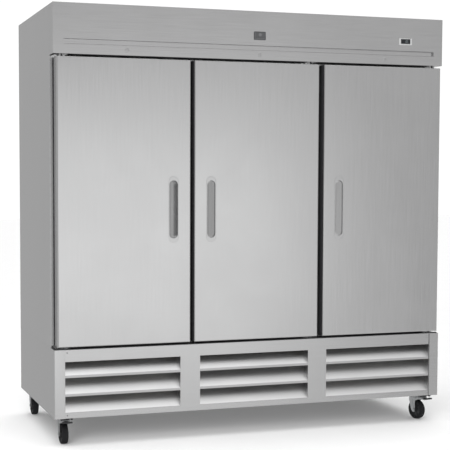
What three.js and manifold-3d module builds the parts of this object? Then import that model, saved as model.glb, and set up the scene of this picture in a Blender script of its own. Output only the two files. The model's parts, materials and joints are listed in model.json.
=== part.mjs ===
// Three-section reach-in refrigerator on casters, with its condensing unit in the base.
// Millimetres. +Z is up, the doors face -Y, and the origin is the bottom centre of the whole object.
import * as THREE from 'three';
import { mergeVertices } from 'three/addons/utils/BufferGeometryUtils.js';
import Module from 'manifold-3d';

const wasm = await Module();
wasm.setup();

// ---------------------------------------------------------------- driving dimensions

const WIDTH = 2080;
const DEPTH = 880;
const HEIGHT = 2122;
const SHEET = 1.2; // thickness of the folded sheet metal
const GAP = 0.3; // clearance between pieces that touch
const TRIM = 2; // how far the proudest trim stands in front of the front plane

const FRONT = -DEPTH / 2 + TRIM;
const BACK = DEPTH / 2;
const HOOD_DEPTH = 77; // header and base stand this far in front of the cabinet face
const FACE = FRONT + HOOD_DEPTH;

const CASTER_HEIGHT = 140;
const BASE_TOP = 473;
const CABINET_BOTTOM = BASE_TOP + GAP;
const HEADER_BOTTOM = 1882;

const DOOR = { width: 670, thickness: 60, bottom: 483.5, top: 1870.5, edgeRadius: 6 };
DOOR.height = DOOR.top - DOOR.bottom;
// hinge is -1 for hinges on the left and +1 on the right; lockX is the middle of the lock above
const DOORS = [
  { side: 'left', x: -688.5, hinge: -1, lockX: -678 },
  { side: 'middle', x: 0.5, hinge: 1, lockX: 9 },
  { side: 'right', x: 698, hinge: 1, lockX: 704 },
];
const PIVOT = { inset: 32, depth: 35, radius: 4, reach: 20, bushRadius: 4.5 };
const HINGE_PLATE = { half: 30, overhang: 18, thickness: 5, height: 42 };

const OPENING_INSET = 50; // door edge to the clear opening behind it
const FRAME_DEPTH = 60; // depth of the posts between the openings
const CAVITY = { halfWidth: 985.3, back: 383, top: 2065.3 };
CAVITY.front = FACE + FRAME_DEPTH;
CAVITY.bottom = DOOR.bottom + OPENING_INSET - SHEET - GAP;

const GASKET = { inset: 30, width: 18 };
const HANDLE = { width: 43, height: 284, depth: 24, fromEdge: 88.5, centreZ: 1142 };
HANDLE.plateWidth = 50;
HANDLE.plateHeight = 326;
HANDLE.wall = 1.5;

const BAY_EDGE = WIDTH / 6; // centre line of each post
const RAIL = { width: 24, depth: 10, bottom: 560, top: 1850 };
const SHELF_LEVELS = [850, 1190, 1530];
const SHELF = { front: -280, back: 362, bar: 8, wire: 4, wires: 5, clearance: 4 };

const CHANNEL = { bottom: 1931, top: 1950, depth: 12, halfWidth: 989 };
const LOCK = { z: 1907, radius: 8, flangeRadius: 10, length: 22 };
LOCK.cam = { from: -6, to: 19, halfWidth: 5, thickness: 2 };
LOCK.keySlot = { halfWidth: 1, halfHeight: 4.5, depth: 4 };
const CONTROLLER = { x: 822, z: 2000.5, width: 76, height: 34, depth: 50 };
const DISPLAY = { width: 54, height: 24, depth: 1.8, offsetX: 1, offsetZ: 1.5 };
const BADGE = { x: 8, z: 2001, width: 64, height: 42, radius: 4 };

const POST_WIDTH = 51; // end posts of the base
const PANEL_RECESS = 6; // the louvred panel sits this far behind the end posts
const LOUVRE = { bottom: 169, top: 414, pitch: 90, lip: 13, depth: 50, rise: 72, blades: 3 };
const LOUVRE_OPENINGS = [[-987, -404], [-301, 286], [389, 987]];

const REAR_WINDOW = { half: 860, bottom: 175, top: 440 };
const REAR_SLOTS = { count: 5, height: 34, margin: 20 };
const INLET = { x: -960, z: 300, width: 48, height: 30, depth: 26 };

const CASTERS = [
  { name: 'caster_front_left', x: -978, y: FRONT + 58, heading: 0, braked: true },
  { name: 'caster_front_right', x: 978, y: FRONT + 58, heading: 11, braked: true },
  { name: 'caster_rear_left', x: -978, y: BACK - 93, heading: 0, braked: false },
  { name: 'caster_rear_right', x: 978, y: BACK - 93, heading: 0, braked: false },
];
const TRAIL = 35; // wheel axle behind the swivel axis
const WHEEL = { radius: 50, width: 32, bore: 5.3 };
const PEDAL = { pivotY: -34, pivotZ: 115 };

// ---------------------------------------------------------------- solids

const X = new THREE.Vector3(1, 0, 0);
const Y = new THREE.Vector3(0, 1, 0);
const Z = new THREE.Vector3(0, 0, 1);
// each frame lays a drawing in the plane that faces the named axis, and extrudes along it
const AXIS_FRAMES = {
  x: new THREE.Matrix4().makeBasis(Y, Z, X),
  y: new THREE.Matrix4().makeBasis(X, Z, Y.clone().negate()),
  z: new THREE.Matrix4(),
};

function toSolid(geometry) {
  geometry.deleteAttribute('normal');
  geometry.deleteAttribute('uv');
  const merged = mergeVertices(geometry, 1e-4);
  return new wasm.Manifold(new wasm.Mesh({
    numProp: 3,
    vertProperties: new Float32Array(merged.attributes.position.array),
    triVerts: new Uint32Array(merged.index.array),
  }));
}

function toGeometry(solid) {
  const { vertProperties, triVerts } = solid.getMesh();
  const geometry = new THREE.BufferGeometry();
  geometry.setAttribute('position', new THREE.BufferAttribute(vertProperties, 3));
  geometry.setIndex(new THREE.BufferAttribute(triVerts, 1));
  geometry.computeVertexNormals();
  return geometry;
}

function block(x0, x1, y0, y1, z0, z1) {
  const geometry = new THREE.BoxGeometry(x1 - x0, y1 - y0, z1 - z0);
  return toSolid(geometry.translate((x0 + x1) / 2, (y0 + y1) / 2, (z0 + z1) / 2));
}

function rod(axis, x, y, z, radius, length, segments = 16) {
  const geometry = new THREE.CylinderGeometry(radius, radius, length, segments);
  if (axis === 'x') {
    geometry.rotateZ(-Math.PI / 2);
  }
  if (axis === 'z') {
    geometry.rotateX(Math.PI / 2);
  }
  return toSolid(geometry.translate(x, y, z));
}

// shape: drawn as (y, z) for axis x, (x, z) for axis y and (x, y) for axis z
function extrude(shape, axis, from, to, curveSegments = 8) {
  const geometry = new THREE.ExtrudeGeometry(shape, {
    depth: to - from, bevelEnabled: false, steps: 1, curveSegments,
  });
  geometry.applyMatrix4(AXIS_FRAMES[axis]);
  const along = axis === 'y' ? to : from;
  const shift = { x: X, y: Y, z: Z }[axis].clone().multiplyScalar(along);
  return toSolid(geometry.translate(shift.x, shift.y, shift.z));
}

function outline(points) {
  return new THREE.Shape(points.map(([u, v]) => new THREE.Vector2(u, v)));
}

function roundedRectangle(width, height, radius, u = 0, v = 0) {
  const shape = new THREE.Shape();
  const [left, right, low, high] = [u - width / 2, u + width / 2, v - height / 2, v + height / 2];
  shape.moveTo(left + radius, low);
  shape.lineTo(right - radius, low);
  shape.absarc(right - radius, low + radius, radius, -Math.PI / 2, 0);
  shape.lineTo(right, high - radius);
  shape.absarc(right - radius, high - radius, radius, 0, Math.PI / 2);
  shape.lineTo(left + radius, high);
  shape.absarc(left + radius, high - radius, radius, Math.PI / 2, Math.PI);
  shape.lineTo(left, low + radius);
  shape.absarc(left + radius, low + radius, radius, Math.PI, Math.PI * 1.5);
  return shape;
}

// profile: (radius, height) pairs from the axis out and back to it; the axis of turning is +Z
function turned(profile, segments = 24) {
  const points = profile.map(([r, h]) => new THREE.Vector2(r, h));
  return toSolid(new THREE.LatheGeometry(points, segments).rotateX(Math.PI / 2));
}

function join(solids) {
  return solids.reduce((total, solid) => total.add(solid));
}

function cut(solid, tools) {
  return tools.reduce((rest, tool) => rest.subtract(tool), solid);
}

function range(count) {
  return Array.from({ length: count }, (_, i) => i);
}

// ---------------------------------------------------------------- finishes

const FINISHES = {
  stainless: { color: 0xb9babb, roughness: 0.35, metalness: 1 },
  stainlessDark: { color: 0x9c9d9f, roughness: 0.4, metalness: 1 },
  galvanized: { color: 0xa7adb0, roughness: 0.5, metalness: 0.9 },
  aluminium: { color: 0xd3d6d8, roughness: 0.4, metalness: 0.9 },
  zinc: { color: 0xb4b8bb, roughness: 0.4, metalness: 0.9 },
  foam: { color: 0xe6dcb8, roughness: 0.9, metalness: 0 },
  gasket: { color: 0x2a2b2d, roughness: 0.8, metalness: 0 },
  blackPlastic: { color: 0x1b1c1e, roughness: 0.5, metalness: 0 },
  whitePlastic: { color: 0xf0f1f1, roughness: 0.4, metalness: 0 },
  darkGlass: { color: 0x15171a, roughness: 0.1, metalness: 0 },
  badge: { color: 0x5d6064, roughness: 0.35, metalness: 0.7 },
  tread: { color: 0x161719, roughness: 0.8, metalness: 0 },
  blackPaint: { color: 0x202124, roughness: 0.45, metalness: 0.3 },
  fins: { color: 0xb9bcbd, roughness: 0.5, metalness: 0.8 },
  coatedWire: { color: 0xdfe2e3, roughness: 0.4, metalness: 0.1 },
};

function piece(name, solid, finish) {
  const mesh = new THREE.Mesh(toGeometry(solid), new THREE.MeshStandardMaterial(FINISHES[finish]));
  mesh.name = name;
  return mesh;
}

// ---------------------------------------------------------------- cabinet

const pivotX = (door) => door.x + door.hinge * (DOOR.width / 2 - PIVOT.inset);
const PIVOT_Y = FRONT + PIVOT.depth;

function doorOpening(door, grow, y0, y1) {
  const half = DOOR.width / 2 - OPENING_INSET + grow;
  const low = DOOR.bottom + OPENING_INSET - grow;
  const high = DOOR.top - OPENING_INSET + grow;
  return block(door.x - half, door.x + half, y0, y1, low, high);
}

// Folded outer sheet: two sides, the top and the face, with a return into each door opening.
function outerShell() {
  const half = WIDTH / 2;
  const outside = block(-half, half, FACE, BACK, CABINET_BOTTOM, HEIGHT);
  const inside = block(-half + SHEET, half - SHEET, FACE + SHEET, BACK + 1,
    CABINET_BOTTOM - 1, HEIGHT - SHEET);
  const returns = DOORS.map((door) => doorOpening(door, SHEET, FACE, CAVITY.front));
  const clear = DOORS.map((door) => doorOpening(door, 0, FACE - 1, CAVITY.front + 1));
  return cut(join([cut(outside, [inside]), ...returns]), clear);
}

function backPanel() {
  const half = WIDTH / 2 - SHEET - GAP;
  return block(-half, half, BACK - SHEET, BACK, CABINET_BOTTOM, HEIGHT - SHEET - GAP);
}

// One foamed body: four walls, the floor and the posts between the door openings.
function insulation() {
  const skin = SHEET + GAP;
  const half = WIDTH / 2 - skin;
  const body = block(-half, half, FACE + skin, BACK - skin, CABINET_BOTTOM, HEIGHT - skin);
  const cavity = block(-CAVITY.halfWidth, CAVITY.halfWidth, CAVITY.front, CAVITY.back,
    CAVITY.bottom, CAVITY.top);
  const tunnels = DOORS.map((door) => doorOpening(door, skin, FACE, CAVITY.front + 1));
  return cut(body, [cavity, ...tunnels]);
}

const LINER = {
  half: CAVITY.halfWidth - GAP - SHEET,
  front: CAVITY.front + GAP + SHEET,
  back: CAVITY.back - GAP - SHEET,
  bottom: CAVITY.bottom + GAP + SHEET,
  top: CAVITY.top - GAP - SHEET,
};

// Inner sheet box with the shelf rails on its side walls, its back wall and behind the posts.
function innerLiner() {
  const { half, front, back, bottom, top } = LINER;
  const outside = block(-half - SHEET, half + SHEET, front - SHEET, back + SHEET,
    bottom - SHEET, top + SHEET);
  const inside = block(-half, half, front, back, bottom, top);
  const openings = DOORS.map((door) => doorOpening(door, 0, front - 5, front + 1));
  const railZ = [RAIL.bottom, RAIL.top];
  const rails = [];
  for (const side of [-1, 1]) {
    const wall = [side * (half + 0.5), side * (half - RAIL.depth)].sort((a, b) => a - b);
    for (const y of [-230, 300]) {
      rails.push(block(...wall, y - RAIL.width / 2, y + RAIL.width / 2, ...railZ));
    }
    const [left, right] = [side * BAY_EDGE - RAIL.width / 2, side * BAY_EDGE + RAIL.width / 2];
    rails.push(block(left, right, front - 0.5, front + RAIL.depth, ...railZ));
    rails.push(block(left, right, back - RAIL.depth, back + 0.5, ...railZ));
  }
  return join([cut(outside, [inside, ...openings]), ...rails]);
}

// ---------------------------------------------------------------- header

function headerPanel() {
  const half = WIDTH / 2;
  const rear = FACE - GAP;
  const { bottom, top, depth, halfWidth } = CHANNEL;
  const outside = block(-half, half, FRONT, rear, HEADER_BOTTOM, HEIGHT);
  const inside = block(-half + SHEET, half - SHEET, FRONT + SHEET, rear + 1,
    HEADER_BOTTOM + SHEET, HEIGHT - SHEET);
  const channel = block(-halfWidth - SHEET, halfWidth + SHEET, FRONT, FRONT + depth + SHEET,
    bottom - SHEET, top + SHEET);
  const groove = block(-halfWidth, halfWidth, FRONT - 1, FRONT + depth, bottom, top);
  const { x, z, width, height } = CONTROLLER;
  const cutout = block(x - width / 2 + 2.5, x + width / 2 - 2.5, FRONT - 1, FRONT + 2,
    z - height / 2 + 2.5, z + height / 2 - 2.5);
  const lockHoles = DOORS.map((door) =>
    rod('y', door.lockX, FRONT, LOCK.z, LOCK.radius + GAP, 10));
  const pinHoles = DOORS.map((door) =>
    rod('z', pivotX(door), PIVOT_Y, HEADER_BOTTOM, PIVOT.radius + 1, 10));
  return cut(join([cut(outside, [inside]), channel]), [groove, cutout, ...lockHoles, ...pinHoles]);
}

function displayWindow(grow, y0, y1) {
  const x = CONTROLLER.x + DISPLAY.offsetX;
  const z = CONTROLLER.z + DISPLAY.offsetZ;
  return block(x - DISPLAY.width / 2 - grow, x + DISPLAY.width / 2 + grow, y0, y1,
    z - DISPLAY.height / 2 - grow, z + DISPLAY.height / 2 + grow);
}

function controllerBezel() {
  const { x, z, width, height, depth } = CONTROLLER;
  const plate = extrude(roundedRectangle(width, height, 3, x, z), 'y', FRONT - TRIM, FRONT - GAP, 4);
  const body = block(x - width / 2 + 2.8, x + width / 2 - 2.8, FRONT - 1, FRONT + depth,
    z - height / 2 + 2.8, z + height / 2 - 2.8);
  const window = displayWindow(GAP, FRONT - TRIM - 1, FRONT - TRIM + DISPLAY.depth);
  return cut(join([plate, body]), [window]);
}

function controllerDisplay() {
  return displayWindow(0, FRONT - TRIM + 0.4, FRONT - TRIM + DISPLAY.depth - GAP);
}

function badgePlate() {
  const { x, z, width, height, radius } = BADGE;
  return extrude(roundedRectangle(width, height, radius, x, z), 'y', FRONT - 1.3, FRONT - GAP, 4);
}

// Key plug with its flange, a key slot and the cam behind the sheet; its axis is the local Y axis.
function lockPlug() {
  const { radius, flangeRadius, length, cam, keySlot } = LOCK;
  const flange = rod('y', 0, -(TRIM + GAP) / 2, 0, flangeRadius, TRIM - GAP, 20);
  const body = rod('y', 0, length / 2 - 0.7, 0, radius, length, 20);
  const camRear = length - 2;
  const arm = block(cam.from, cam.to, camRear - cam.thickness, camRear, -cam.halfWidth, cam.halfWidth);
  const slot = block(-keySlot.halfWidth, keySlot.halfWidth, -TRIM - 1, keySlot.depth,
    -keySlot.halfHeight, keySlot.halfHeight);
  return cut(join([flange, body, arm]), [slot]);
}

// Bracket bolted to the cabinet face behind the header, with the pin that drops into the door.
function upperHinge() {
  const { half, overhang, thickness, height } = HINGE_PLATE;
  const low = HEADER_BOTTOM + SHEET + GAP;
  const rear = FACE - GAP;
  const shelf = block(-half, half, PIVOT_Y - overhang, rear, low, low + thickness);
  const leg = block(-half, half, rear - thickness, rear, low, low + height);
  const bottom = DOOR.top - PIVOT.reach;
  const pin = rod('z', 0, PIVOT_Y, (low + bottom + 1) / 2, PIVOT.radius, low + 1 - bottom);
  return join([shelf, leg, pin]);
}

// ---------------------------------------------------------------- doors

// Door pieces are drawn with x = 0 at the middle, y = 0 at the front face and z = 0 at the bottom.
function doorBlank(inset, y0) {
  const half = DOOR.width / 2 - inset;
  const radius = Math.max(DOOR.edgeRadius - inset, 1);
  const section = new THREE.Shape();
  section.moveTo(-half + radius, y0);
  section.lineTo(half - radius, y0);
  section.absarc(half - radius, y0 + radius, radius, -Math.PI / 2, 0);
  section.lineTo(half, DOOR.thickness);
  section.lineTo(-half, DOOR.thickness);
  section.lineTo(-half, y0 + radius);
  section.absarc(-half + radius, y0 + radius, radius, Math.PI, Math.PI * 1.5);
  return extrude(section, 'z', inset, DOOR.height - inset, 4);
}

function doorBushes(door, radius, reach) {
  const x = door.hinge * (DOOR.width / 2 - PIVOT.inset);
  const length = reach + 5;
  const bottom = rod('z', x, PIVOT.depth, reach - length / 2, radius, length, 12);
  const top = rod('z', x, PIVOT.depth, DOOR.height - reach + length / 2, radius, length, 12);
  return [bottom, top];
}

// Middle of the pull, measured along X from the middle of the door.
const handleX = (door) => -door.hinge * (DOOR.width / 2 - HANDLE.fromEdge);
const HANDLE_Z = HANDLE.centreZ - DOOR.bottom;

function handleHole(door, grow, y0, y1) {
  const width = HANDLE.width + 2 * grow;
  const height = HANDLE.height + 2 * grow;
  const shape = roundedRectangle(width, height, width / 2 - 0.01, handleX(door), HANDLE_Z);
  return extrude(shape, 'y', y0, y1, 5);
}

function doorSkin(door) {
  const inner = doorBlank(SHEET, SHEET).add(block(-DOOR.width / 2 + SHEET, DOOR.width / 2 - SHEET,
    DOOR.thickness - 5, DOOR.thickness + 1, SHEET, DOOR.height - SHEET));
  const hole = handleHole(door, HANDLE.wall + GAP, -1, 3);
  return cut(doorBlank(0, 0), [inner, hole, ...doorBushes(door, PIVOT.bushRadius, PIVOT.reach)]);
}

// Foamed core with the inner door panel on its rear face.
function doorCore(door) {
  const pocket = handleHole(door, HANDLE.wall + 2 * GAP, -1, HANDLE.depth + 4);
  const bushes = doorBushes(door, PIVOT.bushRadius, PIVOT.reach + 3);
  return cut(doorBlank(SHEET + GAP, SHEET + GAP), [pocket, ...bushes]);
}

function doorGasket() {
  const half = DOOR.width / 2 - GASKET.inset;
  const [low, high] = [GASKET.inset, DOOR.height - GASKET.inset];
  const [near, far] = [DOOR.thickness + GAP, HOOD_DEPTH - GAP];
  const ring = block(-half, half, near, far, low, high);
  const hole = block(-half + GASKET.width, half - GASKET.width, near - 1, far + 1,
    low + GASKET.width, high - GASKET.width);
  return cut(ring, [hole]);
}

// The pocket's floor falls from the hinge side to a deep trough at the free edge.
function handlePocket(door, grow) {
  const half = HANDLE.width / 2 + grow;
  const free = -door.hinge;
  const floor = [
    [-half * free, -2],
    [-half * free, grow],
    [4 * free, HANDLE.depth * 0.8 + grow],
    [half * free, HANDLE.depth + grow],
    [half * free, -2],
  ];
  const ordered = free > 0 ? floor.reverse() : floor;
  const prism = extrude(outline(ordered), 'z', -HANDLE.height / 2 - grow, HANDLE.height / 2 + grow);
  const placed = prism.translate([handleX(door), 0, HANDLE_Z]);
  return placed.intersect(handleHole(door, grow, -2, HANDLE.depth + grow + 1));
}

function doorHandle(door) {
  const plateShape = roundedRectangle(HANDLE.plateWidth, HANDLE.plateHeight,
    HANDLE.plateWidth / 2 - 0.01, handleX(door), HANDLE_Z);
  const plate = extrude(plateShape, 'y', -1.3, -GAP, 6);
  const cup = handlePocket(door, HANDLE.wall);
  const trimmed = cup.intersect(block(-DOOR.width, DOOR.width, -0.8, DOOR.thickness, 0, DOOR.height));
  return cut(join([plate, trimmed]), [handlePocket(door, 0)]);
}

function doorGroup(door) {
  const group = new THREE.Group();
  group.position.set(door.x, FRONT, DOOR.bottom);
  group.add(
    piece(`door_${door.side}_skin`, doorSkin(door), 'stainless'),
    piece(`door_${door.side}_core`, doorCore(door), 'aluminium'),
    piece(`door_${door.side}_gasket`, doorGasket(), 'gasket'),
    piece(`door_${door.side}_handle`, doorHandle(door), 'stainlessDark'),
  );
  return group;
}

// ---------------------------------------------------------------- base

const BASE_REAR = BACK - SHEET - GAP;
const PANEL_FRONT = FRONT + PANEL_RECESS;

// Folded tray with a top flange, end posts at the front, a rear window and the lower hinge pins.
function baseFrame() {
  const half = WIDTH / 2;
  const top = BASE_TOP;
  const bottom = CASTER_HEIGHT;
  const flange = 45;
  const postInner = half - POST_WIDTH;
  const postDepth = 58;
  const outside = block(-half, half, FRONT, BASE_REAR, bottom, top);
  const inside = block(-half + SHEET, half - SHEET, FRONT + SHEET, BASE_REAR - SHEET,
    bottom + SHEET, top - SHEET);
  const deckHole = block(-half + flange, half - flange, FACE + flange, BASE_REAR - flange,
    top - 5, top + 1);
  const frontHole = block(-postInner, postInner, FRONT - 1, PANEL_FRONT + SHEET + GAP,
    bottom - 1, top - SHEET);
  const rearHole = block(-REAR_WINDOW.half, REAR_WINDOW.half, BASE_REAR - 5, BASE_REAR + 1,
    REAR_WINDOW.bottom, REAR_WINDOW.top);
  const inletHole = block(INLET.x - INLET.width / 2 + 3, INLET.x + INLET.width / 2 - 3,
    BASE_REAR - 5, BASE_REAR + 1, INLET.z - INLET.height / 2 + 3, INLET.z + INLET.height / 2 - 3);
  const shell = cut(outside, [inside, deckHole, frontHole, rearHole, inletHole]);
  const additions = [];
  for (const side of [-1, 1]) {
    const [left, right] = [side * postInner, side * (postInner + SHEET)].sort((a, b) => a - b);
    additions.push(block(left, right, FRONT, FRONT + postDepth, bottom, top));
  }
  for (const door of DOORS) {
    const x = pivotX(door);
    const pinTop = DOOR.bottom + PIVOT.reach;
    const { half: plateHalf, overhang, thickness } = HINGE_PLATE;
    additions.push(block(x - plateHalf, x + plateHalf, PIVOT_Y - overhang, FACE,
      top - SHEET - thickness, top - 0.5));
    additions.push(rod('z', x, PIVOT_Y, (top - 2 + pinTop) / 2, PIVOT.radius, pinTop - top + 2));
  }
  return join([shell, ...additions]);
}

// Sheet with a window over each row of louvre blades, closed by a cheek at each end of the blades.
function grillePanel() {
  const half = WIDTH / 2 - POST_WIDTH - GAP;
  const [front, rear] = [PANEL_FRONT, PANEL_FRONT + SHEET];
  const deep = front + LOUVRE.depth;
  const panel = block(-half, half, front, rear, CASTER_HEIGHT, BASE_TOP - SHEET - GAP);
  const windows = LOUVRE_OPENINGS.map(([left, right]) =>
    block(left, right, front - 1, rear + 1, LOUVRE.bottom, LOUVRE.top));
  const additions = [];
  for (const [left, right] of LOUVRE_OPENINGS) {
    for (const i of range(LOUVRE.blades)) {
      const lipTop = LOUVRE.bottom + i * LOUVRE.pitch;
      const lipLow = i === 0 ? lipTop - 2 : lipTop - LOUVRE.lip;
      const blade = outline([
        [front, lipLow],
        [rear, lipLow],
        [rear, lipTop - 0.8],
        [deep + 0.6, lipTop + LOUVRE.rise - 1.2],
        [deep, lipTop + LOUVRE.rise],
        [front, lipTop],
      ]);
      additions.push(extrude(blade, 'x', left, right));
    }
    const cheek = outline([
      [front + 0.2, LOUVRE.bottom - 2],
      [deep + 0.6, LOUVRE.bottom - 2],
      [deep + 0.6, LOUVRE.top + 8],
      [front + 0.2, LOUVRE.top + 8],
    ]);
    additions.push(extrude(cheek, 'x', left - SHEET, left), extrude(cheek, 'x', right, right + SHEET));
  }
  return join([cut(panel, windows), ...additions]);
}

function rearGrille() {
  const { half, bottom, top } = REAR_WINDOW;
  const { count, height, margin } = REAR_SLOTS;
  const lap = 18;
  const plate = block(-half - lap, half + lap, BACK - SHEET, BACK, bottom - lap, top + lap);
  const pitch = (top - bottom) / count;
  const slots = range(count).map((i) => {
    const z = bottom + (i + 0.5) * pitch;
    return block(-half + margin, half - margin, BACK - 5, BACK + 1, z - height / 2, z + height / 2);
  });
  return cut(plate, slots);
}

function powerInlet() {
  const { x, z, width, height, depth } = INLET;
  const flange = extrude(roundedRectangle(width, height, 4, x, z), 'y', BACK - SHEET, BACK, 4);
  const body = block(x - width / 2 + 3.3, x + width / 2 - 3.3, BACK - depth, BACK - 0.5,
    z - height / 2 + 3.3, z + height / 2 - 3.3);
  const socket = block(x - 15, x + 15, BACK - depth + 4, BACK + 1, z - 8, z + 8);
  const blades = [-9, 0, 9].map((offset) =>
    block(x + offset - 1, x + offset + 1, BACK - depth + 3, BACK - 6, z - 4, z + 4));
  return join([cut(join([flange, body]), [socket]), ...blades]);
}

// ---------------------------------------------------------------- refrigeration

const TRAY_TOP = CASTER_HEIGHT + SHEET + GAP;

// Welded can on a foot plate with four rubber feet, two pipe stubs and the terminal cover.
function compressor() {
  const radius = 95;
  const weld = radius + 4;
  const can = [[0, 18], [radius - 20, 18], [radius, 34], [radius, 84], [weld, 86], [weld, 92],
    [radius, 94], [radius, 150], [radius * 0.86, 186], [radius * 0.5, 206], [0, 212]];
  const feet = [];
  for (const x of [-88, 88]) {
    for (const y of [-70, 70]) {
      feet.push(rod('z', x, y, 7, 14, 14, 10));
    }
  }
  const footPlate = block(-105, 105, -85, 85, 12, 20);
  const suction = rod('x', 110, 0, 130, 8, 70, 10);
  const discharge = rod('x', 105, 40, 60, 5, 60, 8);
  const terminals = block(-30, 30, -118, -85, 90, 140);
  return join([turned(can, 20), ...feet, footPlate, suction, discharge, terminals]);
}

// Finned block between two end plates, with its return bends.
function finnedCoil(width, depth, height, fins, rows) {
  const core = block(-width / 2, width / 2, -depth / 2 + 6, depth / 2 - 6, 6, height - 6);
  const solids = [core];
  for (const i of range(fins)) {
    const x = -width / 2 + (i * (width - 3)) / (fins - 1);
    const ends = i === 0 || i === fins - 1;
    const inset = ends ? 0 : 2;
    solids.push(block(x, x + 3, -depth / 2 + inset, depth / 2 - inset, inset, height - inset));
  }
  const pitch = height / rows;
  for (const i of range(rows)) {
    const z = pitch * (i + 0.5);
    solids.push(block(-width / 2 - 14, -width / 2 + 1, -depth / 4 - 5, depth / 4 + 5, z - 4, z + 4));
    solids.push(block(width / 2 - 1, width / 2 + 14, -depth / 4 - 5, depth / 4 + 5, z - 4, z + 4));
  }
  return join(solids);
}

// Plate with a round throat, and the motor held behind it on three arms; the axis is local Y.
function fanShroud(width, height, throat) {
  const armFront = 38;
  const armRear = 46;
  const plate = block(-width / 2, width / 2, 0, 2, -height / 2, height / 2);
  const ring = rod('y', 0, armRear / 2, 0, throat + 3, armRear, 28);
  const bore = rod('y', 0, 0, 0, throat, armRear * 3, 28);
  const motor = rod('y', 0, (armFront + armRear) / 2 + 18, 0, 30, 44);
  const arms = range(3).map((i) =>
    block(20, throat + 2, armFront, armRear, -5, 5).rotate([0, i * 120 + 30, 0]));
  return join([cut(join([plate, ring]), [bore]), ...arms, motor]);
}

function fanBlades(radius, blades, depth) {
  const hub = rod('y', 0, 0, 0, 22, depth * 0.6);
  const vanes = range(blades).map((i) => {
    const width = radius * 0.62;
    const vane = block(16, radius, -1, 1, -width / 2, width / 2).rotate([28, 0, 0]);
    return vane.rotate([0, (i * 360) / blades, 0]);
  });
  const limit = rod('y', 0, 0, 0, radius, depth, 28);
  return join([hub, join(vanes).intersect(limit)]);
}

const EVAPORATOR = { half: 500, front: 40, back: 372, bottom: 1888, fanZ: 1976, throat: 68 };

function evaporatorHousing() {
  const { half, front, back, bottom, fanZ, throat } = EVAPORATOR;
  const top = LINER.top - GAP;
  const outside = block(-half, half, front, back, bottom, top);
  const inside = block(-half + 1.5, half - 1.5, front + 1.5, back + 1, bottom + 1.5, top - 1.5);
  const mouth = rod('y', 0, front, fanZ, throat, 20, 28);
  const motorY = 52;
  const motor = rod('y', 0, front + motorY + 10, fanZ, 24, 44);
  const turns = [0, 90, 180, 270];
  const arms = turns.map((turn) =>
    block(0, throat + 12, 0, 4, -4, 4).rotate([0, turn + 45, 0]).translate([0, front + motorY, fanZ]));
  const stays = turns.map((turn) =>
    block(throat + 4, throat + 12, 1 - motorY, 4, -4, 4)
      .rotate([0, turn + 45, 0]).translate([0, front + motorY, fanZ]));
  return join([cut(outside, [inside, mouth]), motor, ...arms, ...stays]);
}

// ---------------------------------------------------------------- shelves

const SHELF_BAYS = [
  { name: 'left', from: -LINER.half + RAIL.depth, to: -BAY_EDGE - RAIL.width / 2 },
  { name: 'middle', from: -BAY_EDGE + RAIL.width / 2, to: BAY_EDGE - RAIL.width / 2 },
  { name: 'right', from: BAY_EDGE + RAIL.width / 2, to: LINER.half - RAIL.depth },
];

// Wires run front to back on three cross bars inside a rectangular frame.
function wireShelf(width) {
  const { front, back, bar, wire, wires } = SHELF;
  const half = width / 2;
  const solids = [];
  for (const y of [front, (front + back - bar) / 2, back - bar]) {
    solids.push(block(-half, half, y, y + bar, -bar, 0));
  }
  for (const x of [-half, half - bar]) {
    solids.push(block(x, x + bar, front, back, -bar, 0));
  }
  for (const i of range(wires)) {
    const x = -half + ((i + 1) * width) / (wires + 1);
    solids.push(block(x - wire / 2, x + wire / 2, front + 1, back - 1, -1, wire - 1));
  }
  return join(solids);
}

// ---------------------------------------------------------------- casters

// Caster pieces are drawn about the swivel axis, z = 0 on the floor, the wheel trailing to +Y.
// heading is how far, in degrees, the fork is turned about that axis.
function casterPlate() {
  const top = CASTER_HEIGHT - GAP;
  const plate = extrude(roundedRectangle(67, 95, 6), 'z', top - 4, top, 2);
  const raceway = rod('z', 0, 0, top - 6, 27, 6, 20);
  return join([plate, raceway]);
}

function casterFork() {
  const crownTop = CASTER_HEIGHT - 2 * GAP - 9;
  const crownLow = 112;
  const inner = WHEEL.width / 2 + 2.5;
  const outer = inner + 3;
  const crown = rod('z', 0, 0, (crownTop + crownLow) / 2, 29, crownTop - crownLow, 20);
  const rear = TRAIL + 38;
  const bridge = block(-outer, outer, -22, rear, crownLow, crownLow + 5);
  const leg = outline([[4, crownLow + 4], [8, 106], [22, 100], [TRAIL - 9, 86], [TRAIL - 13, 52],
    [TRAIL - 10, 41], [TRAIL, 36], [TRAIL + 10, 41], [TRAIL + 15, 54], [rear - 10, 84], [rear, 100],
    [rear, crownLow + 4]]);
  const legs = [[-outer, -inner], [inner, outer]].map(([from, to]) => extrude(leg, 'x', from, to));
  const axle = rod('x', 0, TRAIL, WHEEL.radius, 5, 2 * outer + 8, 12);
  const lugs = [[-15.5, -12.5], [12.5, 15.5]].map(([from, to]) =>
    block(from, to, PEDAL.pivotY - 5, -20, crownLow, PEDAL.pivotZ + 5));
  return join([crown, bridge, ...legs, axle, ...lugs]);
}

function casterWheel() {
  const { radius, width, bore } = WHEEL;
  const half = width / 2;
  const profile = [[bore, -half + 1], [15, -half + 1], [15, -half + 5], [36, -half + 5], [36, -half],
    [radius - 4, -half], [radius, -half + 5], [radius, half - 5], [radius - 4, half], [36, half],
    [36, half - 5], [15, half - 5], [15, half - 1], [bore, half - 1], [bore, -half + 1]];
  return turned(profile, 24).rotate([0, 90, 0]).translate([0, TRAIL, radius]);
}

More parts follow.
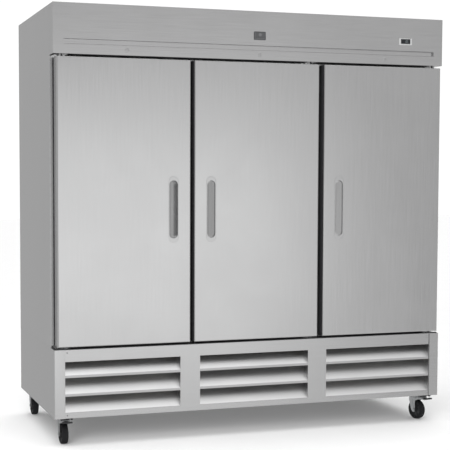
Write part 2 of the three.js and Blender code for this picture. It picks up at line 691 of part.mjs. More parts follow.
// Toe pedal in front of the crown, hinged between the two lugs of the fork.
function brakePedal() {
  const { pivotY, pivotZ } = PEDAL;
  const arm = block(-11.5, 11.5, -46, pivotY + 3, pivotZ - 3, pivotZ + 3);
  const toe = block(-26, 26, -56, -44, pivotZ - 1, pivotZ + 3);
  const lip = block(-26, 26, -56, -53, pivotZ - 3, pivotZ + 7);
  return join([arm, toe, lip]);
}

function caster({ name, x, y, heading, braked }) {
  const group = new THREE.Group();
  group.position.set(x, y, 0);
  const turn = THREE.MathUtils.degToRad(heading);
  const turning = [
    piece(`${name}_fork`, casterFork(), 'zinc'),
    piece(`${name}_wheel`, casterWheel(), 'tread'),
  ];
  if (braked) {
    turning.push(piece(`${name}_pedal`, brakePedal(), 'blackPlastic'));
  }
  for (const mesh of turning) {
    mesh.rotation.z = turn;
  }
  group.add(piece(`${name}_plate`, casterPlate(), 'blackPaint'), ...turning);
  return group;
}

// ---------------------------------------------------------------- assembly

function placed(mesh, x, y, z) {
  mesh.position.set(x, y, z);
  return mesh;
}

const refrigerator = new THREE.Group();

refrigerator.add(
  piece('outer_shell', outerShell(), 'stainless'),
  piece('back_panel', backPanel(), 'galvanized'),
  piece('insulation', insulation(), 'foam'),
  piece('inner_liner', innerLiner(), 'aluminium'),
  piece('header_panel', headerPanel(), 'stainless'),
  piece('controller_bezel', controllerBezel(), 'whitePlastic'),
  piece('controller_display', controllerDisplay(), 'darkGlass'),
  piece('badge_plate', badgePlate(), 'badge'),
  piece('base_frame', baseFrame(), 'stainless'),
  piece('grille_panel', grillePanel(), 'stainless'),
  piece('rear_grille', rearGrille(), 'galvanized'),
  piece('power_inlet', powerInlet(), 'blackPlastic'),
);

for (const door of DOORS) {
  const hinge = piece(`upper_hinge_${door.side}`, upperHinge(), 'zinc');
  const lock = piece(`lock_${door.side}`, lockPlug(), 'stainlessDark');
  refrigerator.add(doorGroup(door));
  refrigerator.add(placed(hinge, pivotX(door), 0, 0));
  refrigerator.add(placed(lock, door.lockX, FRONT, LOCK.z));
}

for (const bay of SHELF_BAYS) {
  const width = bay.to - bay.from - 2 * SHELF.clearance;
  SHELF_LEVELS.forEach((z, level) => {
    const shelf = piece(`shelf_${bay.name}_${level + 1}`, wireShelf(width), 'coatedWire');
    refrigerator.add(placed(shelf, (bay.from + bay.to) / 2, 0, z));
  });
}

const CONDENSER = { width: 520, depth: 80, height: 300, y: -300, shroudY: -258, fanY: -238 };
CONDENSER.axisZ = TRAY_TOP + CONDENSER.height / 2;
const condenserCoil = finnedCoil(CONDENSER.width, CONDENSER.depth, CONDENSER.height, 9, 5);
const condenserShroud = fanShroud(CONDENSER.width, CONDENSER.height - 4, 128);
const evaporatorFan = piece('evaporator_fan', fanBlades(64, 4, 22), 'blackPlastic');
refrigerator.add(
  placed(piece('compressor', compressor(), 'blackPaint'), -560, 120, TRAY_TOP),
  placed(piece('condenser_coil', condenserCoil, 'fins'), 0, CONDENSER.y, TRAY_TOP),
  placed(piece('condenser_fan_shroud', condenserShroud, 'galvanized'),
    0, CONDENSER.shroudY, CONDENSER.axisZ),
  placed(piece('condenser_fan', fanBlades(124, 4, 28), 'blackPlastic'),
    0, CONDENSER.fanY, CONDENSER.axisZ),
  piece('evaporator_housing', evaporatorHousing(), 'aluminium'),
  placed(piece('evaporator_coil', finnedCoil(880, 150, 130, 11, 3), 'fins'), 0, 270, 1905),
  placed(evaporatorFan, 0, EVAPORATOR.front + 22, EVAPORATOR.fanZ),
);

for (const place of CASTERS) {
  refrigerator.add(caster(place));
}

export default refrigerator;
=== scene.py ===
import json
from math import cos, dist, pi, radians, sin, sqrt

import bmesh
import bpy
from mathutils import Matrix, Vector


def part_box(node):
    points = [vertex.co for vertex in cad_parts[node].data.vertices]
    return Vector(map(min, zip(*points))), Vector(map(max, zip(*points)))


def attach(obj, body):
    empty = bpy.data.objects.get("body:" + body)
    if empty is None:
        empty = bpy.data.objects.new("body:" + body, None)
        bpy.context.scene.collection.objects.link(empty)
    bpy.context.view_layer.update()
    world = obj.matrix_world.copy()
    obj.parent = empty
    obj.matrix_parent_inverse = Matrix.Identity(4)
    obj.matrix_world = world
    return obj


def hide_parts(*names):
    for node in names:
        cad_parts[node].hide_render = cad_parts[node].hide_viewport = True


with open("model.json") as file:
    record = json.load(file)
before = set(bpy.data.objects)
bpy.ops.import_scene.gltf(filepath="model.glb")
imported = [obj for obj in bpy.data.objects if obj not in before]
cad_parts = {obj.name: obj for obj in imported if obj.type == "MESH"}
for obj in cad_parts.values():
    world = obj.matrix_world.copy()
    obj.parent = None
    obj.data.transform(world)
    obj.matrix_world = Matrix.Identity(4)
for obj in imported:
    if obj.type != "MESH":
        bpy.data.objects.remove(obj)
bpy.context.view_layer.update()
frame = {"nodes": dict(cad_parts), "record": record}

NODES = frame["nodes"]
RECORD = frame["record"]
BODY_OF = {node: body for body, group in RECORD["behaviour"]["bodies"].items() for node in group}
SLOT_OF = {part["node"]: part["material_slot"] for part in RECORD["subparts"]}
MM = 0.001
DOORS = ("left", "middle", "right")


def cad(node):
    """Lowest and highest corner of a CAD node, in millimetres."""
    low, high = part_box(node)
    return low / MM, high / MM


# ---- numbers and points

UVW = {"x": (1, 2, 0), "y": (0, 2, 1), "z": (0, 1, 2)}  # the two directions across each axis, and its own


def spaced(start, end, count):
    """Evenly spaced numbers from start to end, both included."""
    return [start + i * (end - start) / (count - 1) for i in range(count)]


def middles(start, end, count):
    """The middles of that many equal steps from start to end."""
    return [start + (i + 0.5) * (end - start) / count for i in range(count)]


def round_angles(count, first=0.0):
    """Even angles round a full turn."""
    return [first + 2 * pi * i / count for i in range(count)]


def around(middle, half):
    """The pair of numbers that far to either side of the middle."""
    return (middle - half, middle + half)


def span(first, second):
    """The two numbers as a pair in rising order."""
    return (min(first, second), max(first, second))


def smoothstep(t):
    t = min(max(t, 0.0), 1.0)
    return t * t * (3 - 2 * t)


def at(axis, u, v, w):
    """A point from its two coordinates across an axis and its place along it."""
    point = [0.0, 0.0, 0.0]
    for place, value in zip(UVW[axis], (u, v, w)):
        point[place] = value
    return Vector(point)


def ring(centre, axis, radius, height, angles):
    """Points round an axis through the centre, at a height along it."""
    return [Vector(centre) + at(axis, radius * cos(a), radius * sin(a), height) for a in angles]


def bend(start, corner, end, steps):
    """Smooth curve from start to end that heads for the corner."""
    return [start * (1 - t) ** 2 + corner * 2 * t * (1 - t) + end * t ** 2 for t in spaced(0, 1, steps + 1)]


def rounded_path(points, radius, steps=5):
    """The polyline with each inner corner replaced by a smooth bend."""
    points = [Vector(p) for p in points]
    path = [points[0]]
    for before, corner, after in zip(points, points[1:], points[2:]):
        start = corner + (before - corner).normalized() * radius
        end = corner + (after - corner).normalized() * radius
        path += bend(start, corner, end, steps)
    return path + [points[-1]]


def smooth_corners(points, radius):
    """Closed outline with each corner turned into a short arc."""
    result = []
    for before, corner, after in zip(points[-1:] + points, points, points[1:] + points[:1]):
        path = rounded_path([(*before, 0), (*corner, 0), (*after, 0)], radius, 4)
        result += [(p.x, p.y) for p in path[1:-1]]
    return result


def rounded_outline(u, v, radius, steps=6):
    """Corner-rounded rectangle between two pairs of coordinates."""
    points = []
    left, right, low, top = u[0] + radius, u[1] - radius, v[0] + radius, v[1] - radius
    for a, b, start in ((right, top, 0), (left, top, 90), (left, low, 180), (right, low, 270)):
        for angle in spaced(radians(start), radians(start + 90), steps + 1):
            points.append((a + radius * cos(angle), b + radius * sin(angle)))
    return points


def stadium(width, height, steps=16):
    """Points round a slot shape with full-round ends, centred on (0, 0)."""
    radius = width / 2
    straight = height / 2 - radius
    points = []
    for end, start in ((1, 0), (-1, pi)):
        for angle in spaced(start, start + pi, steps + 1):
            points.append((radius * cos(angle), end * straight + radius * sin(angle)))
    return points


def dense_stadium(width, height, along=20):
    """The same, with extra points down the straight sides."""
    sparse = stadium(width, height)
    points = []
    for first, second in zip(sparse, sparse[1:] + sparse[:1]):
        points.append(first)
        if dist(first, second) > width:
            across = spaced(first[0], second[0], along + 1)
            up = spaced(first[1], second[1], along + 1)
            points += list(zip(across, up))[1:-1]
    return points


# ---- drawing in millimetres

SHARP_ANGLE = 35  # degrees; CAD edges sharper than this are rounded


def add_object(name, data):
    obj = bpy.data.objects.new(name, data)
    bpy.context.scene.collection.objects.link(obj)
    return obj


def face_outward(bm):
    bmesh.ops.recalc_face_normals(bm, faces=bm.faces[:])


def to_mesh(bm, name):
    """The drawing as a mesh; the drawing is used up."""
    mesh = bpy.data.meshes.new(name)
    bm.to_mesh(mesh)
    bm.free()
    return mesh


def round_edges(bm, edges, radius, segments=2, clamp=True):
    bmesh.ops.bevel(bm, geom=edges, offset=radius, segments=segments, profile=0.5,
                    affect="EDGES", clamp_overlap=clamp)


def box(bm, x, y, z, radius=0.0, segments=2):
    """A block between pairs of coordinates, with its edges rounded."""
    size = Matrix.Diagonal((x[1] - x[0], y[1] - y[0], z[1] - z[0], 1))
    middle = Matrix.Translation((sum(x) / 2, sum(y) / 2, sum(z) / 2))
    made = bmesh.ops.create_cube(bm, size=1, matrix=middle @ size)["verts"]
    if radius:
        edges = dict.fromkeys(edge for vert in made for edge in vert.link_edges)
        round_edges(bm, list(edges), radius, segments)


def loft(bm, rings, closed=False, caps=True):
    """Skin over rings of points; a ring of one point is a tip."""
    made = [[bm.verts.new(p) for p in points] for points in rings]
    pairs = list(zip(made, made[1:])) + ([(made[-1], made[0])] if closed else [])
    for first, second in pairs:
        count = max(len(first), len(second))
        for i in range(count):
            j = (i + 1) % count
            corners = [first[i % len(first)], first[j % len(first)],
                       second[j % len(second)], second[i % len(second)]]
            bm.faces.new(list(dict.fromkeys(corners)))
    if caps and not closed:
        for end in (made[0], made[-1]):
            if len(end) > 2:
                bm.faces.new(end)


def prism(bm, outline, axis, start, end):
    """An outline drawn out along an axis."""
    loft(bm, [[at(axis, u, v, w) for u, v in outline] for w in (start, end)])


def stack(bm, axis, u, v, levels, steps=6):
    """Skin over rounded rectangles between the pairs u and v; a level is (inset, height, corner radius)."""
    rings = []
    for inset, height, radius in levels:
        outline = rounded_outline((u[0] + inset, u[1] - inset), (v[0] + inset, v[1] - inset), radius, steps)
        rings.append([at(axis, a, b, height) for a, b in outline])
    loft(bm, rings)


def turn(bm, profile, centre=(0, 0, 0), axis="z", segments=32):
    """Surface of revolution of (radius, height) pairs; equal first and last pairs close it into a ring."""
    closed = profile[0] == profile[-1]
    rings = []
    for radius, height in profile[:-1] if closed else profile:
        angles = round_angles(segments if radius > 0 else 1)
        rings.append(ring(centre, axis, radius, height, angles))
    loft(bm, rings, closed=closed)


def tube(bm, points, radius, sides=8, closed=False):
    """Round bar along a path of points."""
    points = [Vector(p) for p in points]
    count = len(points)
    rings = []
    normal = None
    for i, point in enumerate(points):
        before = points[i - 1] if i or closed else point
        after = points[(i + 1) % count] if i < count - 1 or closed else point
        tangent = (after - before).normalized()
        if normal is None:
            normal = tangent.orthogonal().normalized()
        normal = (normal - tangent * normal.dot(tangent)).normalized()
        side = tangent.cross(normal)
        rings.append([point + (normal * cos(a) + side * sin(a)) * radius
                      for a in round_angles(sides)])
    loft(bm, rings, closed=closed)


def picture_frame(bm, profile, x, z):
    """A closed (outward, y) profile run round the rectangle between two pairs of coordinates."""
    corners = [(x[0], z[0], -1, -1), (x[1], z[0], 1, -1), (x[1], z[1], 1, 1), (x[0], z[1], -1, 1)]
    rings = [[Vector((u + sx * out, y, v + sz * out)) for out, y in profile] for u, v, sx, sz in corners]
    loft(bm, rings, closed=True)


def screws(bm, across, y, up, sign=-1, radius=4.2):
    """Pan heads with a recess, on the surface at y and facing sign, wherever the two rows of places cross."""
    head = [(1, 0), (1, 0.7), (0.86, 1.5), (0.5, 1.95), (0.24, 2.0), (0.1, 1.2), (0, 1.2)]
    for x in across:
        for z in up:
            turn(bm, [(radius * r, sign * h) for r, h in head], (x, y, z), "y", 14)


def hexagon(bm, centre, axis, start, end, across):
    """Hexagon nut or bolt head with a chamfered outer face."""
    radius = across / sqrt(3)
    sections = ((start, 1), (start + (end - start) * 0.8, 1), (end, 0.87))
    loft(bm, [ring(centre, axis, radius * share, w, round_angles(6, pi / 6)) for w, share in sections])


def join(bm, drawing):
    """Adds a drawing to another one."""
    mesh = to_mesh(drawing, "joined")
    bm.from_mesh(mesh)
    bpy.data.meshes.remove(mesh)


def bevelled_plate(bm, outline, axis, start, end, radius=0.6):
    plate = bmesh.new()
    prism(plate, outline, axis, start, end)
    face_outward(plate)
    rims = [e for e in plate.edges if any(len(f.verts) > 4 for f in e.link_faces)]
    round_edges(plate, rims, radius, clamp=False)
    join(bm, plate)


def place(bm, name, finish, node=None, body="cabinet", slot=None, angle=32, move=None):
    """Turns a drawing into a named piece, smooth across edges flatter than the angle. It stands for the
    node and rides with it, or else rides the body."""
    face_outward(bm)
    if move is not None:
        bm.transform(move)
    bm.transform(Matrix.Scale(MM, 4))
    mesh = to_mesh(bm, name)
    mesh.materials.append(FINISHES[finish])
    mesh.polygons.foreach_set("use_smooth", [True] * len(mesh.polygons))
    mesh.set_sharp_from_angle(angle=radians(angle))
    obj = add_object(name, mesh)
    normals = obj.modifiers.new("face_weighted_normals", "WEIGHTED_NORMAL")
    normals.keep_sharp = True
    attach(obj, BODY_OF[node] if node else body)
    if node:
        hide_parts(node)


def difference(bm, tools):
    """The drawing with the tool drawing cut away."""
    objects = []
    for drawing in (bm, tools):
        face_outward(drawing)
        objects.append(add_object("cutting", to_mesh(drawing, "cutting")))
    modifier = objects[0].modifiers.new("cut", "BOOLEAN")
    modifier.object = objects[1]
    modifier.solver = "EXACT"
    result = bmesh.new()
    result.from_object(objects[0], bpy.context.evaluated_depsgraph_get())
    for obj in objects:
        mesh = obj.data
        bpy.data.objects.remove(obj)
        bpy.data.meshes.remove(mesh)
    return result


def softened(node, finish, radius=0.5, name=None, tools=None):
    """A copy of a CAD node, cut by the tools, with its sharp edges rounded, which stands for the node."""
    bm = bmesh.new()
    bm.from_mesh(NODES[node].data)
    bm.transform(Matrix.Scale(1 / MM, 4))
    bmesh.ops.remove_doubles(bm, verts=bm.verts[:], dist=0.01)
    bmesh.ops.dissolve_limit(bm, angle_limit=radians(1), verts=bm.verts[:], edges=bm.edges[:])
    if tools is not None:
        bm = difference(bm, tools)
    limit = radians(SHARP_ANGLE)
    sharp = [e for e in bm.edges if len(e.link_faces) == 2 and e.calc_face_angle(0) > limit]
    round_edges(bm, sharp, radius)
    place(bm, name or f"{node}_sheet", finish, node, slot=SLOT_OF[node])


# ---- finishes


def add_node(tree, kind, inputs):
    """A new shader node, each input set to its number or linked to its source."""
    node = tree.nodes.new("ShaderNode" + kind)
    for name, value in inputs.items():
        if isinstance(value, bpy.types.NodeSocket):
            tree.links.new(value, node.inputs[name])
        else:
            node.inputs[name].default_value = value
    return node


def calculate(tree, operation, first, second):
    node = add_node(tree, "Math", {0: first, 1: second})
    node.operation = operation
    return node.outputs["Value"]


def remap(tree, value, source, target):
    """The value taken smoothly from one span of numbers to the other."""
    node = add_node(tree, "MapRange", {"Value": value, "From Min": source[0], "From Max": source[1],
                                       "To Min": target[0], "To Max": target[1]})
    node.interpolation_type = "SMOOTHSTEP"
    return node.outputs["Result"]


class Shader:
    """A node material around one Principled shader, its textures in object coordinates (metres)."""

    def __init__(self, name, color, roughness, metallic=0.0, **constants):
        self.material = bpy.data.materials.new(name)
        self.material.use_nodes = True
        self.tree = self.material.node_tree
        self.shader = self.tree.nodes["Principled BSDF"]
        self.position = self.tree.nodes.new("ShaderNodeTexCoord").outputs["Object"]
        self.color = color
        constants |= {"Base Color": (*color, 1), "Roughness": roughness, "Metallic": metallic}
        for key, value in constants.items():
            self.shader.inputs[key.replace("_", " ")].default_value = value

    def noise(self, scale, detail=3.0, roughness=0.55, distortion=0.0):
        """Noise value; scale is one number, or three for streaks."""
        place = self.position
        if isinstance(scale, tuple):
            place = add_node(self.tree, "Mapping", {"Vector": place, "Scale": scale}).outputs["Vector"]
            scale = 1
        inputs = {"Vector": place, "Scale": scale, "Detail": detail, "Roughness": roughness,
                  "Distortion": distortion}
        return add_node(self.tree, "TexNoise", inputs).outputs["Fac"]

    def cells(self, scale, output="Color", feature="F1"):
        node = add_node(self.tree, "TexVoronoi", {"Vector": self.position, "Scale": scale})
        node.feature = feature
        return node.outputs[output]

    def spread(self, value, low, high, source=(0.3, 0.7)):
        """The value mapped from its usual span to low..high."""
        return remap(self.tree, value, source, (low, high))

    def total(self, first, second):
        return calculate(self.tree, "ADD", first, second)

    def drive(self, socket, value):
        self.tree.links.new(value, self.shader.inputs[socket])

    def tint(self, value, *stops):
        """Base colour from a ramp of (position, brightness or colour) over the value."""
        ramp = add_node(self.tree, "ValToRGB", {"Fac": value})
        elements = ramp.color_ramp.elements
        while len(elements) < len(stops):
            elements.new(0.5)
        for element, (position, shade) in zip(elements, stops):
            color = shade if isinstance(shade, tuple) else tuple(c * shade for c in self.color)
            element.position = position
            element.color = (*color, 1)
        self.drive("Base Color", ramp.outputs["Color"])

    def bump(self, value, distance, strength):
        """Relief of that height in millimetres."""
        inputs = {"Height": value, "Distance": distance * MM, "Strength": strength}
        self.drive("Normal", add_node(self.tree, "Bump", inputs).outputs["Normal"])


def brushed(name, color, roughness, grain):
    """Satin sheet metal: fine scratches along the grain axis, over broad patches of handling haze."""
    scale = tuple(5 if axis == grain else 900 for axis in "xyz")
    s = Shader(name, color, roughness, 1.0)
    scratches = s.noise(scale, 4)
    haze = s.noise(2.3, 5, 0.6, 0.4)
    fine = s.spread(scratches, -0.02, 0.02)
    s.drive("Roughness", s.total(fine, s.spread(haze, roughness - 0.015, roughness + 0.025)))
    s.tint(s.total(s.spread(scratches, 0.0, 0.8), s.spread(haze, 0.0, 0.2)), (0.0, 0.95), (1.0, 1.045))
    s.bump(scratches, 0.003, 0.3)
    return s.material


def zinc_plated(name, color, roughness):
    """Bright plating with cloudy patches and a little dulling."""
    s = Shader(name, color, roughness, 1.0)
    clouds = s.noise(38, 5, 0.6)
    s.drive("Roughness", s.spread(clouds, roughness - 0.06, roughness + 0.12))
    s.tint(clouds, (0.25, 0.8), (0.55, 1.0), (0.8, 1.06))
    s.bump(s.noise(420, 2), 0.02, 0.4)
    return s.material


def galvanized(name, color):
    """Spangled zinc coating: crystals of different brightness, with faint borders."""
    s = Shader(name, color, 0.42, 0.95)
    crystals = add_node(s.tree, "SeparateColor", {"Color": s.cells(120)}).outputs
    shade = s.total(s.spread(crystals["Red"], 0.1, 0.7, (0, 1)), s.spread(s.noise(9, 5), 0.0, 0.3))
    s.tint(shade, (0.1, 0.84), (0.5, 0.96), (1.0, 1.06))
    s.drive("Roughness", s.spread(crystals["Green"], 0.34, 0.5, (0, 1)))
    s.bump(s.cells(120, "Distance", "DISTANCE_TO_EDGE"), 0.02, 0.25)
    return s.material


def moulded(name, color, roughness, texture=420, depth=0.05):
    """Moulded plastic: fine spark-eroded texture, faint flow marks, and dust in the broad noise."""
    s = Shader(name, color, roughness)
    s.tint(s.noise(7, 6, 0.65), (0.2, 0.86), (0.6, 1.0), (0.85, 1.12))
    s.drive("Roughness", s.spread(s.noise((14, 14, 60), 4), roughness - 0.05, roughness + 0.08))
    s.bump(s.noise(texture * 4, 3), depth, 0.5)
    return s.material


def rubber(name, color, roughness, dust):
    """Matt rubber with a fine dry bloom and dust that gathers in patches."""
    s = Shader(name, color, roughness, Specular_IOR_Level=0.25)
    patches = s.noise(26, 6, 0.7)
    s.tint(patches, (0.35, 1.0), (0.62, 1.15), (0.8, dust))
    s.drive("Roughness", s.spread(patches, roughness - 0.08, roughness + 0.1))
    s.bump(s.noise(1500, 2), 0.05, 0.6)
    return s.material


def painted(name, color, roughness, metallic=0.0):
    """Powder coat: orange peel, faint shade changes, and thin spots on rubbed areas."""
    s = Shader(name, color, roughness, metallic, Coat_Weight=0.15, Coat_Roughness=0.35)
    s.tint(s.noise(60, 8, 0.75), (0.3, 0.9), (0.6, 1.05), (0.74, 1.3), (0.82, 2.2))
    s.drive("Roughness", s.spread(s.noise(11, 4), roughness - 0.06, roughness + 0.09))
    s.bump(s.noise(520, 2), 0.06, 0.5)
    return s.material


def foamed(name, color):
    """Rigid foam: fine open bubbles over uneven shades."""
    s = Shader(name, color, 0.85)
    bubbles = s.cells(700, "Distance")
    s.tint(s.noise(30, 6), (0.25, 0.82), (0.5, 1.0), (0.8, 1.08))
    s.drive("Roughness", s.spread(bubbles, 0.75, 0.95, (0, 0.6)))
    s.bump(bubbles, 0.3, 0.7)
    return s.material


def oxidised(name, color, roughness, dark):
    """Bare tube or fin stock: streaks of tarnish between bright runs."""
    s = Shader(name, color, roughness, 1.0)
    stain = s.noise((30, 30, 12), 6, 0.65)
    s.tint(stain, (0.3, dark), (0.5, 1.0), (0.8, 1.08))
    s.drive("Roughness", s.spread(stain, roughness + 0.15, roughness - 0.05))
    s.bump(s.noise(800, 2), 0.02, 0.4)
    return s.material


def glass_front(name, color):
    """Smoked display window: smooth, with faint wipe marks."""
    s = Shader(name, color, 0.12, Coat_Weight=0.1, Coat_Roughness=0.05, Specular_IOR_Level=0.25)
    wipes = s.noise((240, 60, 30), 5, 0.6, 1.2)
    s.tint(wipes, (0.3, 0.9), (0.7, 1.4))
    s.drive("Roughness", s.spread(wipes, 0.09, 0.22))
    return s.material


def lit_segment(name, color):
    """Display digit that glows a little, unevenly."""
    s = Shader(name, color, 0.4, Emission_Color=(*color, 1), Emission_Strength=0.3)
    glow = s.noise(900, 2)
    s.tint(glow, (0.2, 0.85), (0.8, 1.1))
    s.drive("Roughness", s.spread(glow, 0.3, 0.5))
    return s.material


SATIN = (0.602, 0.602, 0.604)
FINISHES = {
    "stainless": brushed("satin_steel_upright", SATIN, 0.2, "z"),
    "stainless_across": brushed("satin_steel_across", SATIN, 0.22, "x"),
    "stainless_dark": brushed("satin_steel_pull", SATIN, 0.24, "z"),
    "stainless_blades": brushed("satin_steel_blades", SATIN, 0.33, "x"),
    "galvanized": galvanized("galvanized_sheet", (0.5, 0.52, 0.53)),
    "aluminium": brushed("liner_aluminium", (0.72, 0.73, 0.74), 0.36, "z"),
    "zinc": zinc_plated("zinc_plate", (0.42, 0.428, 0.436), 0.33),
    # darker copy of the zinc for the upper hinges: painted shade, for the shadow in the gap under the header
    "zinc_painted_shade": zinc_plated("zinc_bracket_painted_shade", (0.12, 0.122, 0.125), 0.45),
    "foam": foamed("cabinet_foam", (0.78, 0.7, 0.5)),
    "gasket": rubber("gasket_vinyl", (0.03, 0.03, 0.032), 0.62, 1.5),
    "black_plastic": moulded("black_nylon", (0.013, 0.013, 0.0145), 0.5),
    "white_plastic": moulded("white_abs", (0.42, 0.425, 0.425), 0.4, 300, 0.02),
    "display": glass_front("display_window", (0.012, 0.013, 0.015)),
    "segments": lit_segment("display_segments", (0.1, 0.115, 0.12)),
    "badge": painted("plate_enamel", (0.055, 0.056, 0.058), 0.4),
    "badge_relief": painted("plate_relief", (0.13, 0.132, 0.135), 0.35, 0.3),
    "tread": rubber("wheel_rubber", (0.009, 0.009, 0.010), 0.75, 2.6),
    "black_paint": painted("black_powder_coat", (0.014, 0.014, 0.016), 0.42),
    "fins": oxidised("fin_stock", (0.6, 0.61, 0.62), 0.4, 0.7),
    "coated_wire": painted("epoxy_wire", (0.72, 0.74, 0.75), 0.34),
    "copper": oxidised("copper_tube", (0.72, 0.36, 0.22), 0.3, (0.28, 0.13, 0.08)),
    "diffuser": moulded("lamp_diffuser", (0.82, 0.84, 0.85), 0.5, 300, 0.02),
}

for node, obj in NODES.items():
    for material_slot in obj.material_slots:
        material_slot.material = FINISHES[SLOT_OF[node]]

# ---- camera, floor and light

CAMERA_PLACE = (-2.17086, -5.69606, 1.29249)
CAMERA_YAW = 0.30559  # towards +X
CAMERA_PITCH = -0.05808
FLOOR_REACH = 30
LAMP_PLACE = Vector((-2.6, -4.2, 1.9))
LAMP_AIM = Vector((-0.4, -0.5, 0))
LAMP_SIZE = 3.2
LAMP_POWER = 185

BACKDROP = 1.05  # what the camera sees behind the floor
STUDIO_LEVEL = 0.51
OVERHEAD_LEVEL = 1.45
OVERHEAD_DIFFUSE = 0.75  # added for the floor and the matt pieces
OVERHEAD_STEP = ("z", 0.63, 1.0)
NEARLY_SIDEWAYS = 0.05  # least forward part of a direction, which keeps the slopes finite
# Panels of the studio: brightness, then smooth steps whose product shapes it. A step names what it
# follows, where it is 0 and where it is 1. x, y and z are parts of the direction, and "across" and
# "up" are slopes from straight ahead.
PANELS = (
    (0.67, ("across", 0.56, 0.40), ("across", -0.2, 0.05), ("up", 0.14, 0.0), ("up", -0.33, -0.1)),
    (0.025, ("up", 0.07, 0.2), ("y", -0.3, -0.6)),
    (0.05, ("up", 0.07, 0.2), ("y", -0.3, -0.6), ("across", 0.2, 0.55)),
    (-0.035, ("x", 0.0, -0.2)),
    (-0.04, ("x", -0.3, -0.8)),
)
MIRRORED_PANELS = (
    (0.4, ("y", -0.15, -0.5), ("z", -0.12, -0.3), ("across", -0.5, -1.0)),
    (0.4, ("y", -0.15, -0.5), ("z", -0.12, -0.3), ("across", 0.8, 1.2)),
    (0.35, ("y", 0.1, 0.5), ("x", 0.3, 0.75)),
    (0.35, ("y", 0.1, 0.5), ("x", -0.45, -0.8)),
    (0.2, ("z", -0.24, -0.42), ("z", -0.8, -0.5)),
    (-0.2, ("z", -0.6, -0.85)),
)


def make_camera():
    camera = add_object("camera", bpy.data.cameras.new("camera"))
    camera.location = CAMERA_PLACE
    camera.rotation_euler = (pi / 2 + CAMERA_PITCH, 0, -CAMERA_YAW)
    camera.data.sensor_width = 36
    camera.data.lens = 90.44
    camera.data.shift_x = 0.1444
    camera.data.shift_y = 0.0430
    camera.data.clip_end = 200
    bpy.context.scene.camera = camera
    bpy.context.scene.view_settings.view_transform = "Standard"


def make_floor():
    mesh = bpy.data.meshes.new("studio_floor")
    corners = [(x * FLOOR_REACH, y * FLOOR_REACH, 0) for x, y in ((-1, -1), (1, -1), (1, 1), (-1, 1))]
    mesh.from_pydata(corners, [], [(0, 1, 2, 3)])
    floor = add_object("studio_floor", mesh)
    s = Shader("pale_floor", (0.86, 0.86, 0.86), 0.9)
    s.tint(s.noise(3, 4), (0.3, 0.99), (0.7, 1.01))
    mesh.materials.append(s.material)
    floor.visible_glossy = False


def make_world():
    """Grey studio with soft panels for reflections and matt light, and a white backdrop to the camera."""
    world = bpy.data.worlds.new("studio")
    bpy.context.scene.world = world
    world.use_nodes = True
    tree = world.node_tree
    direction = tree.nodes.new("ShaderNodeTexCoord").outputs["Generated"]
    x, y, z = add_node(tree, "SeparateXYZ", {"Vector": direction}).outputs
    ahead = calculate(tree, "MAXIMUM", calculate(tree, "MULTIPLY", y, -1), NEARLY_SIDEWAYS)
    follows = {"x": x, "y": y, "z": z, "across": calculate(tree, "DIVIDE", x, ahead),
               "up": calculate(tree, "DIVIDE", z, ahead)}
    rays = tree.nodes.new("ShaderNodeLightPath").outputs
    seen, diffuse = rays["Is Camera Ray"], rays["Is Diffuse Ray"]

    def step(name, start, end):
        """0 at start and 1 at end, smooth between them."""
        return remap(tree, follows[name], span(start, end), (0, 1) if start < end else (1, 0))

    def lit(level, amount, *parts):
        """The level with an amount times the product of the parts added."""
        for part in parts:
            amount = calculate(tree, "MULTIPLY", part, amount)
        return calculate(tree, "ADD", level, amount)

    level = lit(STUDIO_LEVEL, lit(OVERHEAD_LEVEL, OVERHEAD_DIFFUSE, diffuse), step(*OVERHEAD_STEP))
    mirrored = calculate(tree, "SUBTRACT", 1.0, diffuse)
    for amount, *steps in PANELS:
        level = lit(level, amount, *[step(*numbers) for numbers in steps])
    for amount, *steps in MIRRORED_PANELS:
        level = lit(level, amount, mirrored, *[step(*numbers) for numbers in steps])
    hidden = calculate(tree, "SUBTRACT", 1.0, seen)
    strength = lit(calculate(tree, "MULTIPLY", level, hidden), BACKDROP, seen)
    background = tree.nodes["Background"]
    background.inputs["Color"].default_value = (1, 1, 1, 1)
    tree.links.new(strength, background.inputs["Strength"])


def make_lamp():
    """One low, wide lamp from the front left, which draws the soft shadow on the floor."""
    data = bpy.data.lights.new("soft_front", "AREA")
    data.shape = "DISK"
    data.size = LAMP_SIZE
    data.energy = LAMP_POWER
    lamp = add_object("soft_front", data)
    lamp.location = LAMP_PLACE
    lamp.rotation_euler = (LAMP_AIM - LAMP_PLACE).to_track_quat("-Z", "Y").to_euler()
    lamp.visible_camera = False
    lamp.visible_glossy = False


make_camera()
make_floor()
make_world()
make_lamp()

# ---- doors

DOOR_SHEET = 1.2
DOOR_FOLD = 6
PULL_SLOT = (46, 288)
PULL_CUP = (43.0, 284.0)
PULL_DEPTH = 24.0
PULL_STEPS = 18
PULL_SHALLOW = 5  # depth of the floor at the hinge side
PULL_SLOPE = 14  # how much deeper it is before the trough
PULL_UNDERCUT = 7  # how far the wall at the free side leans in under the rim
GASKET_WIDTH = 18.0
HINGE_Y = 35  # from the door's front to its hinge pins


